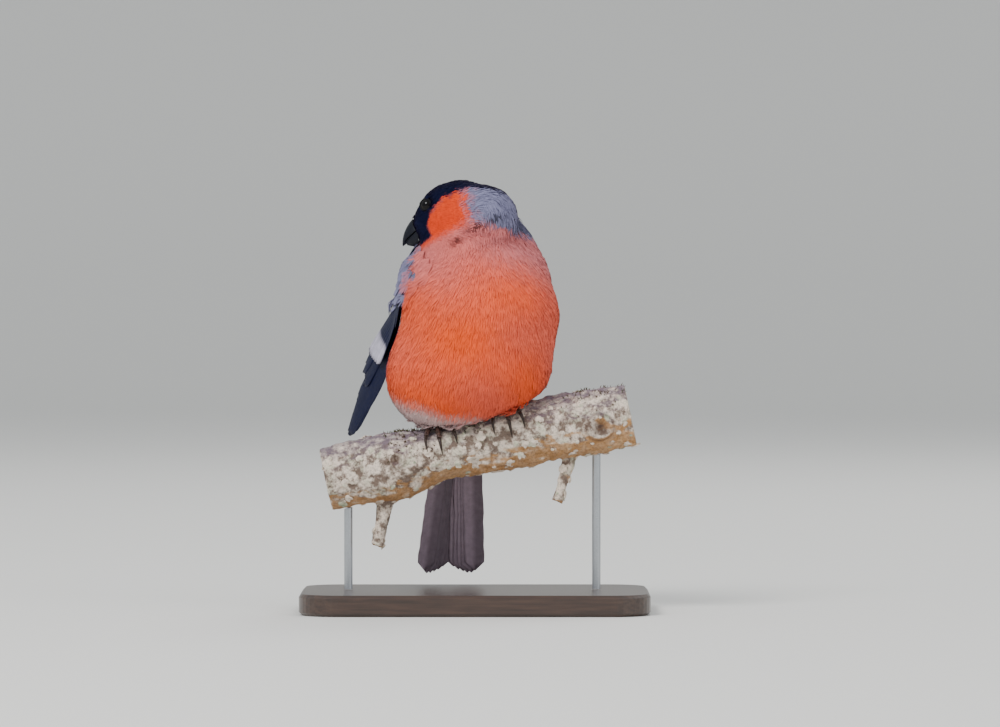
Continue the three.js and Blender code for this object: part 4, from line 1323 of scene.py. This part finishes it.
def bark_material(settings):
    """Rough bark: pale and green crusts, a grey weathered top, a rusty underside, dark pits."""
    material, add = new_material("Lichened bark")
    at = add("ShaderNodeTexCoord").outputs["Object"]
    normal = add("ShaderNodeNewGeometry").outputs["Normal"]
    up = add("ShaderNodeSeparateXYZ", {"Vector": normal}).outputs["Z"]
    fine, patch, other, broad = (
        add("ShaderNodeTexNoise", {
            "Vector": at, "Scale": scale / MM, "Detail": detail, "Roughness": rough,
        }).outputs["Fac"] for scale, detail, rough in (GRIT, CRUST_PATCHES, GREEN_PATCHES, WEATHERING)
    )
    less = add("ShaderNodeMath", {0: up, 1: patch}, operation="SUBTRACT").outputs[0]
    top = add("ShaderNodeMath", {0: less, 1: broad}, operation="ADD").outputs[0]
    low = add("ShaderNodeMath", {0: broad, 1: up}, operation="SUBTRACT").outputs[0]
    # the underside is rustier towards the raised end
    along = add("ShaderNodeSeparateXYZ", {"Vector": at}).outputs["X"]
    along = add("ShaderNodeMath", {0: along, 1: 4.0, 2: -0.12}, operation="MULTIPLY_ADD").outputs[0]
    low = add("ShaderNodeMath", {0: low, 1: along}, operation="ADD").outputs[0]
    share = add("ShaderNodeValToRGB", {"Fac": other}, [(0.52, 0.0), (0.68, 0.8)]).outputs["Color"]
    crust = add(
        "ShaderNodeMix", {0: share, 6: (*settings.lichen, 1), 7: (*settings.green, 1)}, **MIX
    ).outputs[2]
    tone = (*settings.bark, 1)
    for pattern, stops, over in (
        (patch, [(0.43, 0.0), (0.56, 1.0)], crust),
        (top, [(0.35, 0.0), (1.05, 0.85)], (*settings.shade, 1)),
        (low, [(0.75, 0.0), (1.35, 0.8)], (*settings.rust, 1)),
    ):
        share = add("ShaderNodeValToRGB", {"Fac": pattern}, stops).outputs["Color"]
        tone = add("ShaderNodeMix", {0: share, 6: tone, 7: over}, **MIX).outputs[2]
    pits = add("ShaderNodeValToRGB", {"Fac": fine}, [(0.30, 0.42), (0.52, 1.0)]).outputs["Color"]
    tone = add("ShaderNodeMix", {0: 1.0, 6: tone, 7: pits}, **MULTIPLY).outputs[2]
    knot = add("ShaderNodeAttribute", attribute_name="Knot").outputs["Fac"]
    tone = add("ShaderNodeMix", {0: knot, 6: tone, 7: (*settings.knot, 1)}, **MIX).outputs[2]
    rise = add("ShaderNodeValToRGB", {"Fac": patch}, [(0.35, 0.0), (0.7, 1.0)]).outputs["Color"]
    height = add("ShaderNodeMix", {0: 0.35, 6: rise, 7: fine}, **MIX).outputs[2]
    bump = add("ShaderNodeBump", {"Height": height, "Strength": 0.9, "Distance": 0.6 * MM})
    surface = add("ShaderNodeBsdfPrincipled", {
        "Base Color": tone, "Roughness": 0.93, "Specular IOR Level": 0.3, "Normal": bump.outputs["Normal"],
    })
    add("ShaderNodeOutputMaterial", {"Surface": surface.outputs["BSDF"]})
    return material


def crust_material(settings):
    """Crusty lichen: chalky, dry and matt, paler on its raised lobes."""
    material, add = new_material("Crusty lichen")
    at = add("ShaderNodeTexCoord").outputs["Object"]
    lobes = add("ShaderNodeTexNoise", {
        "Vector": at, "Scale": 0.9 / MM, "Detail": 6, "Roughness": 0.65,
    }).outputs["Fac"]
    kind = add("ShaderNodeTexNoise", {
        "Vector": at, "Scale": 0.13 / MM, "Detail": 4, "Roughness": 0.6,
    }).outputs["Fac"]
    share = add("ShaderNodeValToRGB", {"Fac": kind}, [(0.50, 0.0), (0.66, 1.0)]).outputs["Color"]
    crust = add(
        "ShaderNodeMix", {0: share, 6: (*settings.lichen, 1), 7: (*settings.green, 1)}, **MIX
    ).outputs[2]
    shade = add("ShaderNodeValToRGB", {"Fac": lobes}, [(0.30, 0.55), (0.60, 1.0)]).outputs["Color"]
    tone = add("ShaderNodeMix", {0: 1.0, 6: crust, 7: shade}, **MULTIPLY).outputs[2]
    bump = add("ShaderNodeBump", {"Height": lobes, "Strength": 0.8, "Distance": 0.3 * MM})
    surface = add("ShaderNodeBsdfPrincipled", {
        "Base Color": tone, "Roughness": 0.95, "Specular IOR Level": 0.2, "Normal": bump.outputs["Normal"],
    })
    add("ShaderNodeOutputMaterial", {"Surface": surface.outputs["BSDF"]})
    return material


def moss_material(settings):
    """Dry moss: tiny dull leaves, brown in patches."""
    material, add = new_material("Dry moss")
    at = add("ShaderNodeTexCoord").outputs["Object"]
    patch = add("ShaderNodeTexNoise", {
        "Vector": at, "Scale": 0.5 / MM, "Detail": 3, "Roughness": 0.6,
    }).outputs["Fac"]
    brown = tuple(c * 1.3 for c in settings.knot)
    stops = [(0.35, tuple(settings.moss)), (0.7, brown)]
    tone = add("ShaderNodeValToRGB", {"Fac": patch}, stops).outputs["Color"]
    surface = add("ShaderNodeBsdfPrincipled", {
        "Base Color": tone, "Roughness": 0.8, "Specular IOR Level": 0.2,
    })
    add("ShaderNodeOutputMaterial", {"Surface": surface.outputs["BSDF"]})
    return material


GROWTH_INPUTS = (
    ("Surface", "NodeSocketGeometry"), ("Density", "NodeSocketFloat"), ("Smallest", "NodeSocketFloat"),
    ("Largest", "NodeSocketFloat"), ("Width", "NodeSocketFloat"), ("Height", "NodeSocketFloat"),
    ("Tilt", "NodeSocketFloat"), ("Seed", "NodeSocketInt"), ("Finish", "NodeSocketMaterial"),
)


def growth_tree(name, leaf):
    """Nodes that set lobed crusts, or leaves, on a surface as thickly as its Grow attribute says."""
    tree = bpy.data.node_groups.new(name, "GeometryNodeTree")
    add = partial(add_node, tree)
    for label, kind in GROWTH_INPUTS:
        tree.interface.new_socket(label, in_out="INPUT", socket_type=kind)
    tree.interface.new_socket("Growth", in_out="OUTPUT", socket_type="NodeSocketGeometry")
    given = add("NodeGroupInput").outputs
    mask = add("GeometryNodeInputNamedAttribute", {"Name": "Grow"}, data_type="FLOAT")
    density = add(
        "ShaderNodeMath", {0: given["Density"], 1: mask.outputs["Attribute"]}, operation="MULTIPLY"
    )
    points = add("GeometryNodeDistributePointsOnFaces", {
        "Mesh": given["Surface"], "Density": density.outputs[0], "Seed": given["Seed"],
    })
    if leaf:
        shape = add(
            "GeometryNodeMeshCone", {"Vertices": 4, "Radius Bottom": 1.0, "Depth": 1.0}
        ).outputs["Mesh"]
    else:
        ball = add("GeometryNodeMeshIcoSphere", {"Radius": 1.0, "Subdivisions": 2})
        lobes = add("ShaderNodeTexNoise", {"Scale": 1.9, "Detail": 3.0})
        lobe = add("ShaderNodeMath", {0: lobes.outputs[0], 1: 3.2, 2: -1.6}, operation="MULTIPLY_ADD")
        out = add("GeometryNodeInputNormal").outputs["Normal"]
        offset = add("ShaderNodeVectorMath", {0: out, "Scale": lobe.outputs[0]}, operation="SCALE")
        shape = add("GeometryNodeSetPosition", {
            "Geometry": ball.outputs["Mesh"], "Offset": offset.outputs[0],
        }).outputs["Geometry"]
    size = add("FunctionNodeRandomValue", {
        2: given["Smallest"], 3: given["Largest"], "Seed": given["Seed"],
    }, data_type="FLOAT").outputs[1]
    spin = add("FunctionNodeRandomValue", {3: 2 * math.pi, "Seed": given["Seed"]}, data_type="FLOAT")
    about = add("FunctionNodeAxisAngleToRotation", {"Angle": spin.outputs[1], "Axis": (0, 0, 1)})
    tip = add("FunctionNodeAxisAngleToRotation", {"Angle": given["Tilt"], "Axis": (1, 0, 0)})
    turned = points.outputs["Rotation"]
    for extra in (about, tip):
        turned = add(
            "FunctionNodeRotateRotation", {"Rotation": turned, "Rotate By": extra.outputs[0]},
            rotation_space="LOCAL",
        ).outputs[0]
    shares = add("ShaderNodeCombineXYZ", {
        "X": given["Width"], "Y": given["Width"], "Z": given["Height"],
    })
    scaled = add("ShaderNodeVectorMath", {0: shares.outputs[0], "Scale": size}, operation="SCALE")
    placed = add("GeometryNodeInstanceOnPoints", {
        "Points": points.outputs["Points"], "Instance": shape, "Rotation": turned,
        "Scale": scaled.outputs[0],
    })
    real = add("GeometryNodeRealizeInstances", {"Geometry": placed.outputs["Instances"]})
    finish = add("GeometryNodeSetMaterial", {
        "Geometry": real.outputs["Geometry"], "Material": given["Finish"],
    })
    add("NodeGroupOutput", {"Growth": finish.outputs["Geometry"]})
    return tree


def grow(name, bark, share, tree, **inputs):
    """Run a growth tree over the bark and keep what it grows as a plain mesh."""
    mesh = bark.data.copy()
    mesh.attributes.new("Grow", "FLOAT", "POINT").data.foreach_set("value", share.astype(np.float32))
    piece = linked(name, mesh)
    modifier = piece.modifiers.new("Growth", "NODES")
    modifier.node_group = tree
    for item in tree.interface.items_tree:
        if item.in_out == "INPUT" and item.name in inputs:
            modifier[item.identifier] = inputs[item.name]
    settle(piece)
    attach(piece, "root")


PERCH_SLOPE = math.radians(12)
KNOTS = ((-29.5, 57.7, 2.6), (47.3, 69.8, 4.2))  # X, Z and radius in mm, on the breast side
PER_SQUARE_METRE = 1e4  # the settings count growths to the square centimetre


class BULLFINCH_OT_branch(bpy.types.Operator):
    """Roughen the perch, give it knots, and grow lichen crusts and moss on it"""

    bl_idname = "bullfinch.branch"
    bl_label = "Branch"

    def execute(self, context):
        settings = context.scene.bird_branch
        bark = refined("branch_bark", ["stand_perch"], voxel=0.55, rounds=5)
        surface = Surface(bark)
        points, out = surface.points, surface.normals
        lift, patches = np.empty(len(points)), np.empty(len(points))
        for i, p in enumerate(points):
            q = Vector(p)
            patches[i] = noise.noise(q * 0.35)
            lift[i] = 0.35 * noise.fractal(q * 0.16, 1.0, 2.0, 4) + 0.12 * noise.noise(q * 1.3) - 0.35
        lift += 0.75 * np.maximum(0, patches + 0.15)
        axis = np.array([math.cos(PERCH_SLOPE), 0, math.sin(PERCH_SLOPE)])
        flat_end = np.abs(out @ axis) > 0.9
        lift[flat_end] *= 0.25
        scar = np.zeros(len(points))
        for x, z, radius in KNOTS:
            at = np.array(surface.hit((x, -80, z), (0, 1, 0))[0])
            d = np.linalg.norm(points - at, axis=1) / radius
            # a raised rim round a hollow middle
            lift += 0.9 * np.exp(-(((d - 1) / 0.3) ** 2)) - 1.1 * np.exp(-((d / 0.6) ** 2))
            dark = 0.85 * np.exp(-((d / 0.7) ** 2)) + 0.5 * np.exp(-(((d - 1.25) / 0.15) ** 2))
            scar = np.maximum(scar, dark)
        grip = np.ones(len(points))  # nothing grows or rises under the toes
        for side in ("left", "right"):
            low, high = (np.array(c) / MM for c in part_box(f"foot_{side}"))
            outside = np.maximum(np.maximum(low - points, points - high), 0)
            grip *= ramp(0, 4, np.linalg.norm(outside, axis=1))
        lift = np.where(lift > 0, lift * grip, lift)
        set_coords(bark, (points + out * lift[:, None]) * MM)
        attribute = bark.data.attributes.new("Knot", "FLOAT", "POINT")
        attribute.data.foreach_set("value", np.clip(scar, 0, 1).astype(np.float32))
        bare = np.where(flat_end, 0, ramp(0.2, 1, grip)) * (1 - np.clip(2 * scar, 0, 1))
        crusty = bare * ramp(-0.08, 0.3, patches) * (1 - 0.8 * ramp(0.55, 0.9, out[:, 2]))
        mossy = bare * ramp(0.1, 0.7, out[:, 2] - 0.2 * patches) * (
            ramp(-38, -26, points[:, 0]) * (1 - ramp(-2, 8, points[:, 0]))
            + 0.7 * ramp(30, 44, points[:, 0]) * ramp(-0.1, 0.2, patches)
        )
        grow(
            "branch_crusts", bark, crusty, growth_tree("Lichen growth", leaf=False),
            Finish=crust_material(settings), Density=settings.crusts * PER_SQUARE_METRE,
            Smallest=0.5 * MM, Largest=1.7 * MM, Width=1.0, Height=0.42, Tilt=0.0, Seed=5,
        )
        grow(
            "branch_moss", bark, mossy, growth_tree("Moss growth", leaf=True),
            Finish=moss_material(settings), Density=settings.leaves * PER_SQUARE_METRE,
            Smallest=0.7 * MM, Largest=1.8 * MM, Width=0.16, Height=1.0, Tilt=0.6, Seed=8,
        )
        finish_piece(bark, bark_material(settings), "bark", "stand_perch")
        return {"FINISHED"}


# Stand


class BULLFINCH_OT_stand(bpy.types.Operator):
    """Finish the base board and the two rods"""

    bl_idname = "bullfinch.stand"
    bl_label = "Stand"

    def execute(self, context):
        steel = steel_material()
        for node, finish in (
            ("stand_base", wood_material(context.scene.bird_stage.wood)),
            ("stand_rod_left", steel), ("stand_rod_right", steel),
        ):
            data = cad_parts[node].data
            data.materials.clear()
            data.materials.append(finish)
        return {"FINISHED"}


def wood_material(stain):
    """Stained hardwood: straight dark grain under a satin varnish."""
    material, add = new_material("Stained hardwood")
    at = add("ShaderNodeTexCoord").outputs["Object"]
    stretch = add("ShaderNodeMapping", {"Vector": at, "Scale": (0.06, 1, 1)}).outputs["Vector"]
    grain = add("ShaderNodeTexNoise", {
        "Vector": stretch, "Scale": 0.9 / MM, "Detail": 6, "Roughness": 0.6,
    }).outputs["Fac"]
    dark, light = tuple(c * 0.55 for c in stain), tuple(min(c * 1.5, 1) for c in stain)
    tone = add("ShaderNodeValToRGB", {"Fac": grain}, [(0.3, dark), (0.7, light)]).outputs["Color"]
    bump = add("ShaderNodeBump", {"Height": grain, "Strength": 0.15, "Distance": 0.1 * MM})
    surface = add("ShaderNodeBsdfPrincipled", {
        "Base Color": tone, "Roughness": 0.38, "Coat Weight": 0.4, "Coat Roughness": 0.2,
        "Normal": bump.outputs["Normal"],
    })
    add("ShaderNodeOutputMaterial", {"Surface": surface.outputs["BSDF"]})
    return material


def steel_material():
    """Brushed steel rod: bright metal, slightly uneven in tone."""
    material, add = new_material("Brushed steel rod")
    at = add("ShaderNodeTexCoord").outputs["Object"]
    marks = add("ShaderNodeTexNoise", {
        "Vector": at, "Scale": 4 / MM, "Detail": 3, "Roughness": 0.55,
    }).outputs["Fac"]
    stops = [(0.2, linear("#9A9DA1")), (0.8, linear("#C8CBCE"))]
    tone = add("ShaderNodeValToRGB", {"Fac": marks}, stops).outputs["Color"]
    surface = add("ShaderNodeBsdfPrincipled", {"Base Color": tone, "Metallic": 1.0, "Roughness": 0.32})
    add("ShaderNodeOutputMaterial", {"Surface": surface.outputs["BSDF"]})
    return material


# Stage

# The floor, which turns up into a wall behind: Y and Z in metres
SWEEP = ((-5.0, 0.0), (3.0, 0.0), (3.7, 0.1), (4.2, 0.4), (4.5, 1.0), (4.6, 2.0), (4.6, 5.0))
# Name, place in metres, power in watts and width in metres
LAMPS = (
    ("key", (-0.9, -1.3, 1.5), 36, 0.8),
    ("fill", (1.5, -1.2, 0.8), 8, 1.2),
    ("back", (0.5, 1.2, 1.4), 10, 0.8),
)
LAMP_AIM = (0, 0, 0.1)
# How the photo's pixels lie on the model: AXIS_PIXEL is on the Z axis, AXIS_HEIGHT up
PIXELS_PER_MM = 2.64
PICTURE_MIDDLE = (500, 363.5)
AXIS_PIXEL = (475, 577)
AXIS_HEIGHT = 13  # mm
SENSOR = 36  # mm


class BULLFINCH_OT_stage(bpy.types.Operator):
    """Set the floor, the soft light and the camera"""

    bl_idname = "bullfinch.stage"
    bl_label = "Stage"

    def execute(self, context):
        settings = context.scene.bird_stage
        points = [(x, y, z) for y, z in SWEEP for x in (-6, 6)]
        faces = [(2 * i, 2 * i + 1, 2 * i + 3, 2 * i + 2) for i in range(len(SWEEP) - 1)]
        floor = mesh_object("floor", points, faces)
        floor.data.materials.append(paper_material(settings.floor))
        world = bpy.data.worlds.new("Studio")
        world.use_nodes = True
        world.node_tree.nodes["Background"].inputs["Color"].default_value = (*linear("#E6ECF2"), 1)
        world.node_tree.nodes["Background"].inputs["Strength"].default_value = 0.85
        context.scene.world = world
        for name, place, power, wide in LAMPS:
            lamp = bpy.data.lights.new(name, "AREA")
            lamp.energy, lamp.size = power, wide
            self.aim(linked(name, lamp), Vector(place), Vector(LAMP_AIM))
        camera = bpy.data.cameras.new("camera")
        far, rise = settings.camera_away * MM, settings.camera_rise
        camera.sensor_width = SENSOR
        camera.lens = SENSOR * far / (settings.view_width * MM)
        camera.clip_end = 20
        right = (PICTURE_MIDDLE[0] - AXIS_PIXEL[0]) / PIXELS_PER_MM
        up = AXIS_HEIGHT + (AXIS_PIXEL[1] - PICTURE_MIDDLE[1]) / PIXELS_PER_MM
        target = Vector((right, 0, up)) * MM
        away = Vector((0, -far * math.cos(rise), far * math.sin(rise)))
        context.scene.camera = linked("camera", camera)
        self.aim(context.scene.camera, target + away, target)
        return {"FINISHED"}

    def aim(self, obj, place, target):
        """Put a lamp or the camera in its place and turn it to what it looks at."""
        obj.location = place
        obj.rotation_euler = (target - place).to_track_quat("-Z", "Y").to_euler()


def paper_material(colour):
    """Matt paper sweep: even and pale, with no pattern."""
    material, add = new_material("Matt paper sweep")
    surface = add("ShaderNodeBsdfPrincipled", {"Base Color": (*colour, 1), "Roughness": 0.95})
    add("ShaderNodeOutputMaterial", {"Surface": surface.outputs["BSDF"]})
    return material


class BULLFINCH_PT_panel(bpy.types.Panel):
    """Sidebar panel with the sizes and colours, and a button for each group of pieces"""

    bl_idname = "BULLFINCH_PT_panel"
    bl_label = "Bullfinch"
    bl_space_type = "VIEW_3D"
    bl_region_type = "UI"
    bl_category = "Bullfinch"

    def draw(self, context):
        layout = self.layout
        for group in (context.scene.bird_plumage, context.scene.bird_branch, context.scene.bird_stage):
            box = layout.box()
            for key in group.bl_rna.properties.keys():
                if key not in ("rna_type", "name"):
                    box.prop(group, key)
        for operator in OPERATORS:
            layout.operator(operator.bl_idname)


OPERATORS = (
    BULLFINCH_OT_stage,
    BULLFINCH_OT_skin,
    BULLFINCH_OT_coat,
    BULLFINCH_OT_overlap,
    BULLFINCH_OT_wings,
    BULLFINCH_OT_tail,
    BULLFINCH_OT_bill,
    BULLFINCH_OT_eyes,
    BULLFINCH_OT_feet,
    BULLFINCH_OT_branch,
    BULLFINCH_OT_stand,
)
SETTINGS = {
    "bird_plumage": PlumageSettings,
    "bird_branch": BranchSettings,
    "bird_stage": StageSettings,
}


def register():
    for group in SETTINGS.values():
        bpy.utils.register_class(group)
    for name, group in SETTINGS.items():
        setattr(bpy.types.Scene, name, bpy.props.PointerProperty(type=group))
    for operator in OPERATORS:
        bpy.utils.register_class(operator)
    bpy.utils.register_class(BULLFINCH_PT_panel)


def unregister():
    bpy.utils.unregister_class(BULLFINCH_PT_panel)
    for operator in reversed(OPERATORS):
        bpy.utils.unregister_class(operator)
    for name, group in reversed(SETTINGS.items()):
        delattr(bpy.types.Scene, name)
        bpy.utils.unregister_class(group)


def main():
    """Register everything and press each button once."""
    register()
    for operator in OPERATORS:
        group, name = operator.bl_idname.split(".")
        getattr(getattr(bpy.ops, group), name)()


if __name__ == "__main__":
    main()
